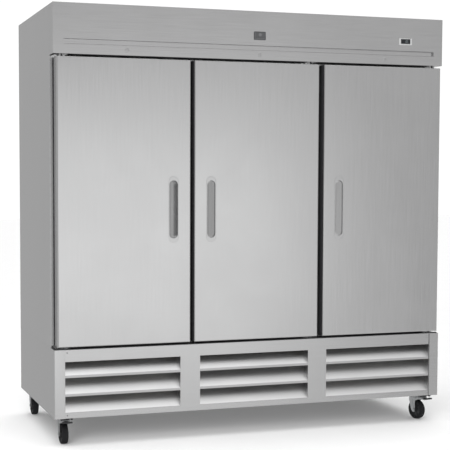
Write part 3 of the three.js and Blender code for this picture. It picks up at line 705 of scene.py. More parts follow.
def door_face(side, low, high, pull):
    """Folded front sheet: rounded front edges, open at the back, with the slot for the pull."""
    bm = bmesh.new()
    box(bm, (low.x, high.x), (low.y, high.y), (low.z, high.z))
    back = [f for f in bm.faces if f.calc_center_median().y > high.y - 1]
    bmesh.ops.delete(bm, geom=back, context="FACES_ONLY")
    front = [e for e in bm.edges if len(e.link_faces) == 2 and all(v.co.y < low.y + 1 for v in e.verts)]
    round_edges(bm, front, DOOR_FOLD, 5, clamp=False)
    face_outward(bm)
    bmesh.ops.solidify(bm, geom=bm.faces[:], thickness=DOOR_SHEET)
    tools = bmesh.new()
    slot = [(pull.x + u, pull.z + v) for u, v in stadium(*PULL_SLOT)]
    prism(tools, slot, "y", low.y - 5, low.y + 5)
    bm = difference(bm, tools)
    place(bm, f"door_{side}_face", "stainless", f"door_{side}_skin")


def door_pull(side, low, high, free):
    """Pressed cup: flat rim, rolled lip, and a floor that falls to a trough at the free edge."""
    middle = (low + high) / 2
    outer = dense_stadium(high.x - low.x, high.z - low.z)
    inner = dense_stadium(*PULL_CUP)
    rim = ((1, 1, 1.0), (0.995, 0.999, 0.2), (0.97, 0.995, 0.0))
    rings = [[(u * across, v * up, y) for u, v in outer] for across, up, y in rim]
    rings.append([((a + c) / 2, (b + d) / 2, 0.0) for (a, b), (c, d) in zip(outer, inner)])
    rings.append([(u, v, 0.0) for u, v in inner])
    half = PULL_CUP[0] / 2
    for i in range(1, PULL_STEPS + 1):
        inset = (half - 0.3) * (i / PULL_STEPS) ** 1.25
        undercut = PULL_UNDERCUT * sin(pi * min(2.2 * i / PULL_STEPS, 1))
        points = []
        for u, v in dense_stadium(PULL_CUP[0] - 2 * inset, PULL_CUP[1] - 2 * inset):
            across = free * u / half
            trough = (PULL_DEPTH - PULL_SHALLOW - PULL_SLOPE) * smoothstep((across - 0.5) / 0.5)
            floor = PULL_SHALLOW + PULL_SLOPE * (across + 1) / 2 + trough
            wall = smoothstep(inset / (2.0 + 3.0 * smoothstep(-across)))
            points.append((u + free * undercut * smoothstep(across / 0.8) * wall, v, floor * wall))
        rings.append(points)
    bm = bmesh.new()
    loft(bm, [[Vector((middle.x + u, low.y + y, middle.z + v)) for u, v, y in points] for points in rings],
         caps=False)
    bm.faces.new(bm.verts[:][-len(rings[-1]):])
    place(bm, f"door_{side}_pull", "stainless_dark", f"door_{side}_handle", angle=40)


def door_liner(side, low, high):
    """Foamed slab behind the face, closed by a pressed inner panel with a raised centre and a flange."""
    bm = bmesh.new()
    rear = high.y
    box(bm, (low.x, high.x), (low.y + 27, rear - 0.6), (low.z, high.z))
    border, rise = 62, 9.5
    steps = ((0, 0), (3, 0.8), (9, rise - 1.4), (13, rise), (60, rise), (66, rise - 2.4), (72, rise - 3))
    levels = [(0, rear - 0.5, 0.5), (1, rear, 0.5)]
    levels += [(border + inset, rear + height, 26 - inset * 0.2) for inset, height in steps]
    stack(bm, "y", (low.x, high.x), (low.z, high.z), levels)
    place(bm, f"door_{side}_liner", "aluminium", f"door_{side}_core", angle=25)


def door_bellows(side, low, high):
    """Magnetic gasket: a foot, two folds and a rounded magnet pocket that meets the cabinet face."""
    near, far = low.y - 0.2, high.y
    fold = [(0, 0.0), (0, 0.12), (-2.2, 0.2), (-2.4, 0.3), (0.0, 0.42), (0.2, 0.52), (-2.0, 0.6),
            (-1.2, 0.68), (0, 0.74), (0, 0.93), (-1.2, 1.0)]
    outer = [(out, near + (far - near) * t) for out, t in fold]
    inner = [(-GASKET_WIDTH - out, y) for out, y in reversed(outer)]
    bm = bmesh.new()
    picture_frame(bm, outer + inner, (low.x, high.x), (low.z, high.z))
    place(bm, f"door_{side}_bellows", "gasket", f"door_{side}_gasket", angle=40)


def door_bushes(side, x, y, low, high):
    """Nylon washers round the hinge pins, between the door and the brackets."""
    bm = bmesh.new()
    profile = [(4.6, 0), (9.5, 0), (10.5, 0.8), (10.5, 2.6), (9.5, 3.4), (4.6, 3.4), (4.6, 0)]
    for z, sign in ((low.z, -1), (high.z, 1)):
        turn(bm, [(r, sign * h) for r, h in profile], (x, y, z), "z", 24)
    place(bm, f"door_{side}_bushes", "black_plastic", body=f"door_{side}")


def door_edge_painted_shade(side, low, high, free):
    """Black strip down the free edge of the door, its borders rounded over the steel: painted shade, a dark
    sheet that stands for the shadow in the gaps between the doors.
    """
    face = high.x if free > 0 else low.x
    outline = [(-0.3, low.y + 9), (0.5, low.y + 9.6), (0.9, low.y + 11), (0.9, high.y - 4), (0.5, high.y - 2),
               (-0.3, high.y - 1.4)]
    bm = bmesh.new()
    prism(bm, [(face + free * u, y) for u, y in outline], "z", low.z + 2, high.z - 2)
    place(bm, f"door_{side}_edge_painted_shade", "gasket", body=f"door_{side}")


def door(side):
    low, high = cad(f"door_{side}_skin")
    pull_low, pull_high = cad(f"door_{side}_handle")
    pull = (pull_low + pull_high) / 2
    free = 1 if pull.x > (low.x + high.x) / 2 else -1
    door_face(side, low, high, pull)
    door_pull(side, pull_low, pull_high, free)
    door_edge_painted_shade(side, low, high, free)
    door_liner(side, *cad(f"door_{side}_core"))
    door_bellows(side, *cad(f"door_{side}_gasket"))
    hinge_low, hinge_high = cad(f"upper_hinge_{side}")
    door_bushes(side, (hinge_low.x + hinge_high.x) / 2, low.y + HINGE_Y, low, high)


for side in DOORS:
    door(side)

# ---- folded sheets and small fittings

CHANNEL_LOW = 1931
CHANNEL_TOP = 1950
SEAM_REACH = 988
LOUVRE_WINDOWS = ((-987, -404), (-301, 286), (389, 987))
LOUVRE_LOW = 169
LOUVRE_TOP = 414
LOUVRE_BLADES = 3
LOUVRE_PITCH = 90
LOUVRE_SHEET = 1.2
LOUVRE_DEPTH = 50
LOUVRE_RISE = 72
DIGIT_HEIGHT = 14
KEY_HALF = 3.4
LOCK_RADIUS = 10
LOCK_DOME = 1.7  # how far the collar stands out
SEGMENTS = {3: "abgcd", 8: "abcdefg"}
SHEET_FINISHES = {
    "outer_shell": "stainless", "base_frame": "stainless_across", "evaporator_housing": "aluminium",
    "rear_grille": "galvanized", "condenser_fan_shroud": "galvanized", "power_inlet": "black_plastic",
    # the upper hinges take the darker zinc, painted shade for the gap under the header
    "controller_bezel": "white_plastic", "upper_hinge_left": "zinc_painted_shade",
    "upper_hinge_middle": "zinc_painted_shade", "upper_hinge_right": "zinc_painted_shade",
}


def header():
    """Header sheet with a fine seam above and below its recessed channel."""
    front = cad("header_panel")[0].y
    tools = bmesh.new()
    for z, width in ((CHANNEL_LOW - 2.2, 0.8), (CHANNEL_TOP + 1.2, 1.6)):
        box(tools, around(0, SEAM_REACH), around(front, 3), (z, z + width))
    softened("header_panel", "stainless_across", 0.35, tools=tools)


def blade_outline(front, lip_low, lip_top):
    """Section (y, z) of one louvre blade: a lip, a tight fold, and a floor that steepens to the rear."""
    start = Vector((front + 1.4, lip_top))
    middle = Vector((front + LOUVRE_DEPTH * 0.68, lip_top + LOUVRE_RISE * 0.525))
    end = Vector((front + LOUVRE_DEPTH, lip_top + LOUVRE_RISE))
    top = [Vector((front, lip_low)), Vector((front, lip_top - 1.6)), Vector((front + 0.4, lip_top - 0.6))]
    top += bend(start, middle, end, 10)
    under = []
    for before, point, after in zip([top[0]] + top, top, top[1:] + [top[-1]]):
        along = (after - before).normalized()
        under.append(point + Vector((along.y, -along.x)) * LOUVRE_SHEET)
    return [tuple(point) for point in top + under[::-1]]


def louvred_front():
    """Panel between the end posts, with three windows of three blades each and a cheek at each blade end."""
    low, high = cad("grille_panel")
    front = low.y
    bm = bmesh.new()
    box(bm, (low.x, high.x), (front, front + LOUVRE_SHEET), (low.z, high.z))
    tools = bmesh.new()
    for window in LOUVRE_WINDOWS:
        outline = rounded_outline(window, (LOUVRE_LOW, LOUVRE_TOP), 2.0, 4)
        prism(tools, outline, "y", front - 5, front + 5)
    bm = difference(bm, tools)
    place(bm, "louvred_front", "stainless_across", "grille_panel", slot="stainless", angle=40)
    bm = bmesh.new()
    for left, right in LOUVRE_WINDOWS:
        for i in range(LOUVRE_BLADES):
            lip_top = LOUVRE_LOW + i * LOUVRE_PITCH
            lip = 13 if i else 1.5
            prism(bm, blade_outline(front, lip_top - lip, lip_top), "x", left, right)
        for x in (left - LOUVRE_SHEET, right):
            box(bm, (x, x + LOUVRE_SHEET), (front + 0.3, front + LOUVRE_DEPTH + 0.6),
                (LOUVRE_LOW - 2, LOUVRE_TOP + 8))
    place(bm, "louvre_blades", "stainless_blades", "grille_panel", slot="stainless", angle=40)


def seven_segments(bm, digit, x, y, z):
    """One digit as thin lozenge bars, its middle at (x, z)."""
    half, arm, bar = DIGIT_HEIGHT / 4, DIGIT_HEIGHT / 4 - 0.35, DIGIT_HEIGHT * 0.055
    places = {"a": (0, 2 * half, 0), "g": (0, 0, 0), "d": (0, -2 * half, 0), "b": (half, half, 1),
              "c": (half, -half, 1), "e": (-half, -half, 1), "f": (-half, half, 1)}
    lozenge = [(-arm, 0), (-arm + bar, bar), (arm - bar, bar)]
    lozenge += [(-a, -b) for a, b in lozenge]
    for key in SEGMENTS[digit]:
        u, v, upright = places[key]
        points = [(b, a) if upright else (a, b) for a, b in lozenge]
        prism(bm, [(x + u + a, z + v + b) for a, b in points], "y", y - 0.12, y)


def controller():
    """Display window with two lit digits and two lamps, and a bezel with four keys and a raised border."""
    low, high = cad("controller_display")
    softened("controller_display", "display", 0.3, name="controller_window")
    bm = bmesh.new()
    middle = (low.z + high.z) / 2
    for digit, x in ((3, low.x + 27), (8, low.x + 37)):
        seven_segments(bm, digit, x, low.y, middle)
    for radius, x, z in ((1.1, low.x + 46, middle + 6), (0.9, low.x + 8, middle + 7)):
        turn(bm, [(radius, 0), (radius * 0.75, -0.12), (0, -0.12)], (x, low.y, z), "y", 12)
    place(bm, "controller_digits", "segments", slot="display")
    bezel = cad("controller_bezel")[0]
    bm = bmesh.new()
    for x in spaced(low.x + 9, high.x - 9, 4):
        outline = rounded_outline(around(x, KEY_HALF), (bezel.z + 1.9, bezel.z + 4.5), 1.2, 4)
        loft(bm, [[Vector((x + (u - x) * share, bezel.y + y, v)) for u, v in outline]
                  for share, y in ((1, 0.1), (1, -0.35), (1 - 0.5 / KEY_HALF, -0.6))])
    border = [(0.2, 0), (0.6, -0.45), (1.3, -0.45), (1.7, 0), (1.0, 0.3)]
    picture_frame(bm, [(out, bezel.y + y) for out, y in border], (low.x, high.x), (low.z, high.z))
    place(bm, "controller_keys", "white_plastic")


def badge():
    """Plain enamel plate with a raised border, a bar and a round boss."""
    low, high = cad("badge_plate")
    front, middle = low.y, (low + high) / 2
    bm = bmesh.new()
    levels = ((0, high.y, 4), (0, front + 0.5, 4), (0.5, front, 3.7), (2.2, front, 2.68),
              (2.7, front + 0.35, 2.38))
    stack(bm, "y", (low.x, high.x), (low.z, high.z), levels, 5)
    place(bm, "badge_enamel", "badge", "badge_plate")
    bm = bmesh.new()
    boss = [(8, 0.5), (8, -0.2), (7.2, -0.5), (6, -0.3), (5.2, -0.3), (4.4, -0.6), (0, -0.75)]
    turn(bm, boss, (middle.x + 2, front, middle.z + 5), "y", 28)
    raised = (front - 0.3, front + 0.5)
    box(bm, (low.x + 8, low.x + 9.6), raised, (low.z + 5, high.z - 5), 0.3)
    box(bm, (low.x + 15, high.x - 8), raised, (low.z + 7, low.z + 8.6), 0.3)
    place(bm, "badge_relief", "badge_relief", slot="badge")


def lock(side):
    """Key lock: domed collar, recessed plug with its key slot, barrel and cam."""
    low, high = cad(f"lock_{side}")
    centre = (low.z + high.z) / 2
    x = low.x + LOCK_RADIUS
    face = low.y + LOCK_DOME
    bm = bmesh.new()
    profile = [(0, 20.0), (8, 20.0), (8, 0.3), (LOCK_RADIUS, 0.3), (LOCK_RADIUS, -0.5), (9.3, -1.3),
               (7.9, -LOCK_DOME), (7.1, -1.5), (6.7, -0.8), (6.3, -0.8), (5.9, -1.25), (0, -1.35)]
    turn(bm, profile, (x, face, centre), "y", 36)
    tools = bmesh.new()
    box(tools, around(x, 0.9), around(face, 4), around(centre, 4.2))
    bm = difference(bm, tools)
    box(bm, (x - 6, x + 19), (high.y - 2, high.y), around(centre, 5), 0.5)
    hexagon(bm, (x, 0, centre), "y", high.y, high.y + 2.4, 9)
    place(bm, f"lock_{side}_cylinder", "stainless_dark", f"lock_{side}")


header()
for node, finish in SHEET_FINISHES.items():
    softened(node, finish)
louvred_front()
controller()
badge()
for side in DOORS:
    lock(side)

# ---- casters

FORK_INNER = 18.5
FORK_OUTER = 21.5
FORK_REAR = 73.0
TRAIL = 35.0
AXLE_Z = 50.0
AXLE = (0, TRAIL, AXLE_Z)
HEADING = {"front_right": 11}


def caster_mount(name, fixed):
    """Painted plate under the base with its bearing cup and four bolts."""
    bm = bmesh.new()
    levels = ((1.2, 135.7, 6), (0, 136.6, 6), (0, 139.7, 6))
    stack(bm, "z", around(0, 33.5), around(0, 47.5), levels, 5)
    turn(bm, [(0, 130.9), (21, 130.9), (25.8, 131.6), (27, 133.2), (27, 135.9), (0, 135.9)], segments=36)
    washer = [(0, 133.9), (6.4, 133.9), (6.8, 134.3), (6.8, 135.9), (0, 135.9)]
    for x in (-25, 25):
        for y in (-38, 38):
            turn(bm, washer, (x, y, 0), segments=18)
            hexagon(bm, (x, y, 0), "z", 134.2, 129.8, 10)
    place(bm, f"caster_{name}_mount", "black_paint", f"caster_{name}_plate", move=fixed)


def caster_yoke(name, move, braked):
    """Plated fork: bearing cup, crown, two ribbed legs, axle with its nuts, and the ears of the pedal."""
    bm = bmesh.new()
    turn(bm, [(0, 130.4), (23, 130.4), (27.6, 129.4), (29, 127), (29, 124.6), (27.7, 123.6), (27.7, 122.4),
              (29, 121.4), (29, 113.4), (28.2, 112), (0, 112)], segments=36)
    box(bm, around(0, FORK_OUTER), (-22, FORK_REAR), (112, 116.5), 1.6, 3)
    leg = smooth_corners([(2, 115), (10, 105), (25, 101), (27, 84), (25, 50), (28, 37), (45, 36), (56, 48),
                          (66, 80), (FORK_REAR, 100), (FORK_REAR, 115)], 5)
    for start, end in ((-FORK_OUTER, -FORK_INNER), (FORK_INNER, FORK_OUTER)):
        bevelled_plate(bm, leg, "x", start, end)
    for sign in (-1, 1):
        face = sign * FORK_OUTER
        washer = [(0, 0), (10, 0), (10, 0.8), (9, 1.3), (0, 1.3)]
        turn(bm, [(r, face + sign * h) for r, h in washer], AXLE, "x", 24)
        hexagon(bm, AXLE, "x", face + sign * 1.2, face + sign * 4.6, 13)
        tube(bm, rounded_path([(face, 46, 106), (face, 42, 74), (face, TRAIL, 62)], 10), 1.5)
        box(bm, span(sign * 12.5, sign * 15.5), (-39, -20), (112, 119.5), 1)
    tube(bm, [(-FORK_OUTER, TRAIL, AXLE_Z), (FORK_OUTER, TRAIL, AXLE_Z)], 4.8, 16)
    if braked:
        tube(bm, [(-17, -34, 115), (17, -34, 115)], 1.7, 12)
    place(bm, f"caster_{name}_yoke", "zinc", f"caster_{name}_fork", move=move)


def caster_wheel(name, move):
    """Rubber tyre on a nylon core with a hub, a dished web and six ribs."""
    bm = bmesh.new()
    tyre = [(36.5, -13), (40, -15.3), (44.5, -16), (48.2, -15), (49.6, -12.6), (50, -9.5)]
    tyre += [(r, -w) for r, w in reversed(tyre)]
    turn(bm, tyre + tyre[:1], AXLE, "x", 56)
    place(bm, f"caster_{name}_tyre", "tread", f"caster_{name}_wheel", angle=50, move=move)
    bm = bmesh.new()
    core = [(5.3, -15), (11, -15), (12.6, -13.6), (13.6, -9), (30, -7.6), (34, -9), (35.6, -12.4),
            (37, -13.2)]
    core += [(r, -w) for r, w in reversed(core)]
    turn(bm, core + core[:1], AXLE, "x", 40)
    for angle in round_angles(6):
        rib = bmesh.new()
        box(rib, around(0, 11.5), (12, 34.5), around(0, 1.1), 0.5, 1)
        rib.transform(Matrix.Translation(AXLE) @ Matrix.Rotation(angle, 4, "X"))
        join(bm, rib)
    place(bm, f"caster_{name}_core", "black_plastic", body=f"{name}_roller", slot="tread", move=move)


def caster_pedal(name, move):
    """Toe pedal: a bent arm and a broad plate with three grip ridges."""
    bm = bmesh.new()
    arm = smooth_corners([(-31, 112.2), (-31, 118), (-38, 118.6), (-45, 122), (-52, 122), (-52, 118.6),
                          (-46, 118), (-40, 112.2)], 2)
    bevelled_plate(bm, arm, "x", -11.5, 11.5, 0.5)
    plate = smooth_corners([(-43.5, 118.4), (-43.5, 122.2), (-54, 123.6), (-56, 121.4), (-56, 116),
                            (-54, 116), (-52.6, 119)], 1)
    bevelled_plate(bm, plate, "x", -26, 26, 0.5)
    for y, z in ((-51.0, 123.2), (-48.6, 122.9), (-46.2, 122.6)):
        tube(bm, [(-22, y, z), (22, y, z)], 0.6)
    place(bm, f"caster_{name}_toe_pedal", "black_plastic", f"caster_{name}_pedal", move=move)


def caster(name, braked):
    """One swivel caster, drawn round its own swivel axis and then moved to its place and heading."""
    low, high = cad(f"caster_{name}_plate")
    fixed = Matrix.Translation(((low.x + high.x) / 2, (low.y + high.y) / 2, 0))
    turned = fixed @ Matrix.Rotation(radians(HEADING.get(name, 0)), 4, "Z")
    caster_mount(name, fixed)
    caster_yoke(name, turned, braked)
    caster_wheel(name, turned)
    if braked:
        caster_pedal(name, turned)


for name in ("front_left", "front_right", "rear_left", "rear_right"):
    caster(name, name.startswith("front"))

# ---- inside the cabinet

LINER_SHEET = 1.2
RAIL_HEIGHT = 10
RAIL_PLACES = (-230, 300)
POST_PLACE = 2080 / 6  # the two posts stand a sixth of the cabinet's width from the middle
STRIP_LOW = 560
STRIP_TOP = 1850
RUNG_PITCH = 25.8
RUNG_HEIGHT = 19
SHELF_WIRES = 25


def wire_shelf(node):
    """Epoxy-coated shelf: round frame, two cross bars, and closely spaced wires bent down at the front."""
    low, high = cad(node)
    left, right, front, rear = low.x + 4, high.x - 4, low.y + 4, high.y - 4
    frame_z, wire_z = high.z - 6.8, high.z - 1.7
    bm = bmesh.new()
    corners = ((low.x + 320, front), (left, front), (left, rear), (right, rear), (right, front),
               (low.x + 321, front))
    path = rounded_path([(x, y, frame_z) for x, y in corners], 14)
    tube(bm, path[:-1], 3.6, 10, closed=True)
    for share in (0.33, 0.66):
        y = low.y + (high.y - low.y) * share
        tube(bm, [(left, y, frame_z + 0.5), (right, y, frame_z + 0.5)], 2.8)
    for x in spaced(low.x + 14, high.x - 14, SHELF_WIRES):
        corners = [(x, low.y + 2.2, frame_z - 3.2), (x, low.y + 2.2, wire_z), (x, high.y - 2.4, wire_z)]
        tube(bm, rounded_path(corners, 5, 3), 1.6, 6)
    place(bm, f"{node}_wires", "coated_wire", node)


def shelf_clip(bm, x, y, z, inward, on_wall):
    """Seat under a shelf corner, and the hook that hangs it in its slotted strip."""
    if on_wall:
        seat = (span(x - inward * 4, x + inward * 12), around(y, 8))
        hook = (span(x - inward * 4, x - inward * 1.6), around(y, 8))
    else:
        depth = 1 if y < 0 else -1
        edge = y - depth * 9.2
        seat = (span(x - inward * 13, x + inward * 12), span(edge, edge + depth * 26))
        hook = (span(x - inward * 13, x - inward * 5), span(edge, edge + depth * 2.4))
    box(bm, *seat, (z - 3, z), 0.6)
    box(bm, *hook, (z - 22, z), 0.6)


def shelves():
    """Three shelves behind each door, and the clips at their corners."""
    clips = bmesh.new()
    for side in DOORS:
        for level in (1, 2, 3):
            node = f"shelf_{side}_{level}"
            wire_shelf(node)
            low, high = cad(node)
            for x, inward, on_wall in ((low.x, 1, side == "left"), (high.x, -1, side == "right")):
                for y in RAIL_PLACES if on_wall else (low.y, high.y):
                    shelf_clip(clips, x, y, low.z, inward, on_wall)
    place(clips, "shelf_clips", "zinc")


def slotted_strips():
    """Perforated shelf standards over the rails of the liner."""
    low, high = cad("inner_liner")
    inset = LINER_SHEET + RAIL_HEIGHT
    wall = high.x - inset
    faces = [("x", sign * wall, -sign, y) for sign in (-1, 1) for y in RAIL_PLACES]
    faces += [("y", y, depth, sign * POST_PLACE) for sign in (-1, 1)
              for y, depth in ((low.y + inset, 1), (high.y - inset, -1))]
    bars = [(-12, -5, STRIP_LOW, STRIP_TOP), (5, 12, STRIP_LOW, STRIP_TOP)]
    for i in range(int((STRIP_TOP - STRIP_LOW) / RUNG_PITCH)):
        z = STRIP_LOW + i * RUNG_PITCH
        bars.append((-5.1, 5.1, z, z + RUNG_HEIGHT))
    bm = bmesh.new()
    for axis, face, outward, middle in faces:
        proud = span(face, face + outward * 1.6)
        for left, right, bottom, top in bars:
            sides = (middle + left, middle + right)
            x, y = (proud, sides) if axis == "x" else (sides, proud)
            box(bm, x, y, (bottom, top), 0.25, 1)
    place(bm, "slotted_strips", "zinc")


def lamps():
    """A slim lamp along the ceiling behind each doorway: metal tray and opal cover with end caps."""
    low, high = cad("inner_liner")
    ceiling, y = high.z - LINER_SHEET, low.y + 18
    arc = [(y + 10 * cos(a), ceiling - 7 - 9 * sin(a)) for a in spaced(0, pi, 13)]
    trays, covers = bmesh.new(), bmesh.new()
    for side in DOORS:
        door_low, door_high = cad(f"door_{side}_skin")
        middle = (door_low.x + door_high.x) / 2
        box(trays, around(middle, 230), around(y, 13), (ceiling - 7, ceiling), 0.8)
        prism(covers, arc, "x", middle - 220, middle + 220)
        for x in around(middle, 224):
            box(trays, around(x, 5), around(y, 12), (ceiling - 18, ceiling - 1), 2, 3)
    place(trays, "lamp_trays", "aluminium")
    place(covers, "lamp_covers", "diffuser", slot="white_plastic")


def coving():
    """Rounded fillets where the liner's floor meets its walls."""
    low, high = cad("inner_liner")
    x = (low.x + LINER_SHEET, high.x - LINER_SHEET)
    y = (low.y + LINER_SHEET, high.y - LINER_SHEET)
    floor, radius = low.z + LINER_SHEET, 14.0
    arc = [(radius * (1 - cos(a)), radius * (1 - sin(a))) for a in spaced(0, pi / 2, 9)]
    bm = bmesh.new()
    for axis, walls, ends in (("y", x, y), ("x", y, x)):
        for wall, sign in zip(walls, (1, -1)):
            section = [(wall + sign * u, floor + v) for u, v in arc] + [(wall, floor)]
            prism(bm, section, axis, *ends)
    place(bm, "liner_coving", "aluminium", angle=30)


def fan_guard():
    """Wire guard and screws on the front of the evaporator housing."""
    low, high = cad("evaporator_housing")
    fan_low, fan_high = cad("evaporator_fan")
    centre = (fan_low + fan_high) / 2
    centre.y = low.y - 3.2
    bm = bmesh.new()
    for radius in (14, 26, 38, 50, 62, 74):
        tube(bm, ring(centre, "y", radius, 0, round_angles(48)), 1.1, 6, closed=True)
    for angle in round_angles(4, pi / 4):
        spoke = [ring(centre, "y", radius, y, [angle])[0]
                 for radius, y in ((14, -1.4), (76, -1.4), (82, 2.6), (86, 3.0))]
        tube(bm, spoke, 1.5)
    across = (low.x + 14, low.x + 250, high.x - 250, high.x - 14)
    screws(bm, across, low.y, (low.z + 14, high.z - 14))
    place(bm, "evaporator_guard", "zinc")


shelves()
slotted_strips()
lamps()
coving()
fan_guard()

# ---- refrigeration

FAN_BLADES = 5
BLADE_SECTIONS = 9
COIL_FINS = 84
COIL_ROWS = 8
CAN_X = -560.0
CAN_Y = 120.0
PIPE_X = -320


def axial_fan(node):
    """Moulded hub with swept blades of rounded section, which widen and flatten towards their tips."""
    low, high = cad(node)
    centre, radius = (low + high) / 2, (high.x - low.x) / 2
    depth = (high.y - low.y) / 2
    bm = bmesh.new()
    hub = radius * 0.22
    turn(bm, [(0, -depth * 0.8), (hub * 0.7, -depth * 0.75), (hub, -depth * 0.45), (hub, depth * 0.75),
              (0, depth * 0.75)], centre, "y", 28)
    for start in round_angles(FAN_BLADES):
        rings = []
        for share in spaced(0, 1, BLADE_SECTIONS):
            r = hub * 0.9 + (radius - hub * 0.9) * share
            middle = start + 0.35 * share
            spread = radians(34 + 16 * share)
            pitch = depth * (0.72 - 0.2 * share)
            thick = 1.4 - 0.7 * share
            section = []
            for side in (1, -1):
                for s in spaced(-side, side, 7):
                    y = s * pitch + (0.25 * pitch + side * thick * 0.9) * (1 - s * s)
                    section += ring(centre, "y", r, y, [middle + s * spread])
            rings.append(section)
        loft(bm, rings)
    bmesh.ops.remove_doubles(bm, verts=bm.verts[:], dist=0.001)
    place(bm, f"{node}_wheel", "black_plastic", node, angle=50)


def condenser_fins():
    """Close aluminium fins between end plates, with copper return bends."""
    low, high = cad("condenser_coil")
    left, right = low.x + 14, high.x - 14
    bm = bmesh.new()
    for x in spaced(left + 4, right - 4, COIL_FINS):
        box(bm, around(x, 0.35), (low.y + 3, high.y - 3), (low.z + 3, high.z - 3))
    for x in (left, right - 2):
        box(bm, (x, x + 2), (low.y, high.y), (low.z, high.z), 0.5)
    place(bm, "condenser_fins", "fins", "condenser_coil")
    bm = bmesh.new()
    middle, reach = (low.y + high.y) / 2, (high.y - low.y) / 4
    for z in middles(low.z, high.z, COIL_ROWS):
        for y in around(middle, reach):
            tube(bm, [(left - 1, y, z), (right + 1, y, z)], 4.2)
        for x, sign in ((left, -1), (right, 1)):
            tube(bm, [(x + sign * (1 + 8 * sin(a)), middle + reach * cos(a), z)
                      for a in spaced(0, pi, 9)], 4.2)
    place(bm, "condenser_tubes", "copper", slot="fins")


def compressor(tray):
    """Welded can with its foot plate, terminal cover and two service stubs, on four rubber feet."""
    bm = bmesh.new()
    profile = [(0, 18), (70, 18), (84, 21), (92, 28), (95, 38), (95, 84), (98.6, 85.6), (98.6, 91.4),
               (95, 93), (95, 148), (93, 162), (86, 180), (72, 196), (50, 206), (24, 211), (0, 212)]
    turn(bm, profile, (CAN_X, CAN_Y, tray), "z", 56)
    (left, right), (front, rear) = around(CAN_X, 105), around(CAN_Y, 85)
    outline = smooth_corners([(left, front), (right, front), (right, rear), (left, rear)], 18)
    bevelled_plate(bm, outline, "z", tray + 14, tray + 18, 0.8)
    box(bm, around(CAN_X, 31), (CAN_Y - 118, CAN_Y - 84), (tray + 88, tray + 142), 5, 4)
    for dx in (-16, 16):
        stub = [(CAN_X + dx * 0.4, CAN_Y, tray + 208), (CAN_X + dx, CAN_Y, tray + 216),
                (CAN_X + dx, CAN_Y + 22, tray + 206)]
        tube(bm, rounded_path(stub, 5), 2.6)
    place(bm, "compressor_can", "black_paint", "compressor", angle=40)
    bm = bmesh.new()
    foot = [(0, 0), (12, 0), (12.5, 2), (9, 5), (11.5, 8), (9, 11), (10, 14), (10, 19), (6, 21), (0, 21)]
    for x in around(CAN_X, 88):
        for y in around(CAN_Y, 70):
            turn(bm, foot, (x, y, tray), "z", 20)
    place(bm, "compressor_feet", "gasket")


def pipework(tray):
    """Suction, discharge and liquid lines, with the filter drier; heights are over the tray."""
    coil = cad("condenser_coil")[0].x
    discharge = [(CAN_X + 92, CAN_Y + 40, 60), (-340, CAN_Y + 40, 60), (-340, -210, 60), (-340, -210, 250),
                 (-300, -282, 275), (coil + 2, -282, 275)]
    suction = [(CAN_X + 90, CAN_Y, 130), (-395, CAN_Y, 130), (-395, 330, 130), (-395, 330, 331)]
    liquid = [(coil + 4, -318, 20), (PIPE_X, -318, 20), (PIPE_X, -120, 36), (PIPE_X, 250, 36),
              (PIPE_X, 352, 60), (PIPE_X, 352, 331)]
    bm = bmesh.new()
    for path, radius in ((discharge, 4.8), (suction, 7.6), (liquid, 3.6)):
        tube(bm, rounded_path([(x, y, tray + z) for x, y, z in path], 26, 7), radius, 12)
    drier = [(3.4, -62), (6, -58), (13, -48), (14, -42), (14, 42), (13, 48), (6, 58), (3.4, 62)]
    turn(bm, drier, (PIPE_X, 60, tray + 36), "y", 24)
    place(bm, "refrigerant_lines", "copper", slot="zinc", angle=50)


axial_fan("condenser_fan")
axial_fan("evaporator_fan")
condenser_fins()
compressor(cad("compressor")[0].z)
pipework(cad("compressor")[0].z)

# ---- back, painted shade in the gaps, and front screws

BACK_BEADS = 7
GUARD_WIRES = 115


def back_beads():
    """Pressed stiffening beads of the back panel."""
    low, high = cad("back_panel")
    bm = bmesh.new()
    runout = ((0, 0.05), (6, 0.55), (14, 0.85), (24, 1))
    levels = [(low.z + 110 + z, share) for z, share in runout]
    levels += [(high.z - 110 - z, share) for z, share in reversed(runout)]
    for x in middles(low.x, high.x, BACK_BEADS):
        loft(bm, [[Vector((x + 9 * share * cos(a), high.y - 0.2 + 2.4 * share * sin(a), z))
                   for a in spaced(0, pi, 9)] for z, share in levels])
    place(bm, "back_beads", "galvanized", angle=40)


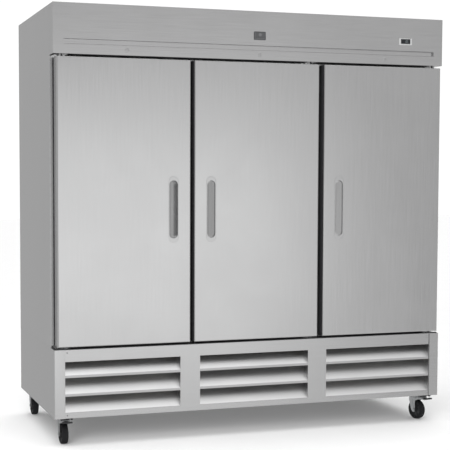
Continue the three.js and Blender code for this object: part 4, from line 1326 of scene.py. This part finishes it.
def back_screws():
    """Screws of the back panel, the rear grille and the inlet."""
    bm = bmesh.new()
    low, high = cad("back_panel")
    screws(bm, spaced(low.x + 18, high.x - 18, 9), high.y, (low.z + 16, high.z - 16), 1)
    screws(bm, (low.x + 18, high.x - 18), high.y, spaced(low.z, high.z, 7)[1:-1], 1)
    low, high = cad("rear_grille")
    screws(bm, spaced(low.x + 9, high.x - 9, 8), high.y, (low.z + 9, high.z - 9), 1)
    low, high = cad("power_inlet")
    screws(bm, (low.x + 4, high.x - 4), high.y, [(low.z + high.z) / 2], 1, 2.6)
    place(bm, "back_screws", "zinc")


def rear_guard():
    """Close upright wires behind the slots of the rear grille, on three cross wires."""
    low, high = cad("rear_grille")
    bm = bmesh.new()
    inner = low.y - 3
    for x in spaced(low.x + 44, high.x - 44, GUARD_WIRES):
        tube(bm, [(x, inner, low.z + 24), (x, inner, high.z - 24)], 1.0, 6)
    for z in (low.z + 30, (low.z + high.z) / 2, high.z - 30):
        tube(bm, [(low.x + 40, inner - 1.8, z), (high.x - 40, inner - 1.8, z)], 1.4, 6)
    place(bm, "rear_guard_wires", "zinc")


def gap_shade_strips():
    """Black strips over the doors and under them, broken at the hinges, and before the lower hinges: painted
    shade, dark sheets that stand for the shadow in the gaps round the doors.
    """
    low, high = cad("header_panel")
    hinges = [cad(f"upper_hinge_{side}") for side in DOORS]
    gaps = sorted((hinge_low.x - 2, hinge_high.x + 2) for hinge_low, hinge_high in hinges)
    ends = [low.x + 4] + [x for gap in gaps for x in gap] + [high.x - 4]
    base = cad("grille_panel")[1].z + 1.5
    front = low.y + 3
    bm = bmesh.new()
    for left, right in zip(ends[::2], ends[1::2]):
        if right - left < 5:
            continue
        for z in ((low.z - 1.6, low.z + 0.2), (base - 0.2, base + 1.6)):
            box(bm, (left, right), (front, low.y + 72), z, 0.6)
    plate_front = cad("door_left_skin")[0].y + 16.6
    for gap in gaps:
        box(bm, gap, (front, plate_front), (base - 0.2, base + 5), 0.6)
    place(bm, "gap_shade_strips", "gasket")


def panel_screws():
    """Small screws in the corners of the louvred panel."""
    low, high = cad("grille_panel")
    bm = bmesh.new()
    screws(bm, (low.x + 12, high.x - 12), low.y, (low.z + 14, high.z - 14), radius=3.4)
    place(bm, "panel_screws", "zinc")


back_beads()
back_screws()
rear_guard()
gap_shade_strips()
panel_screws()
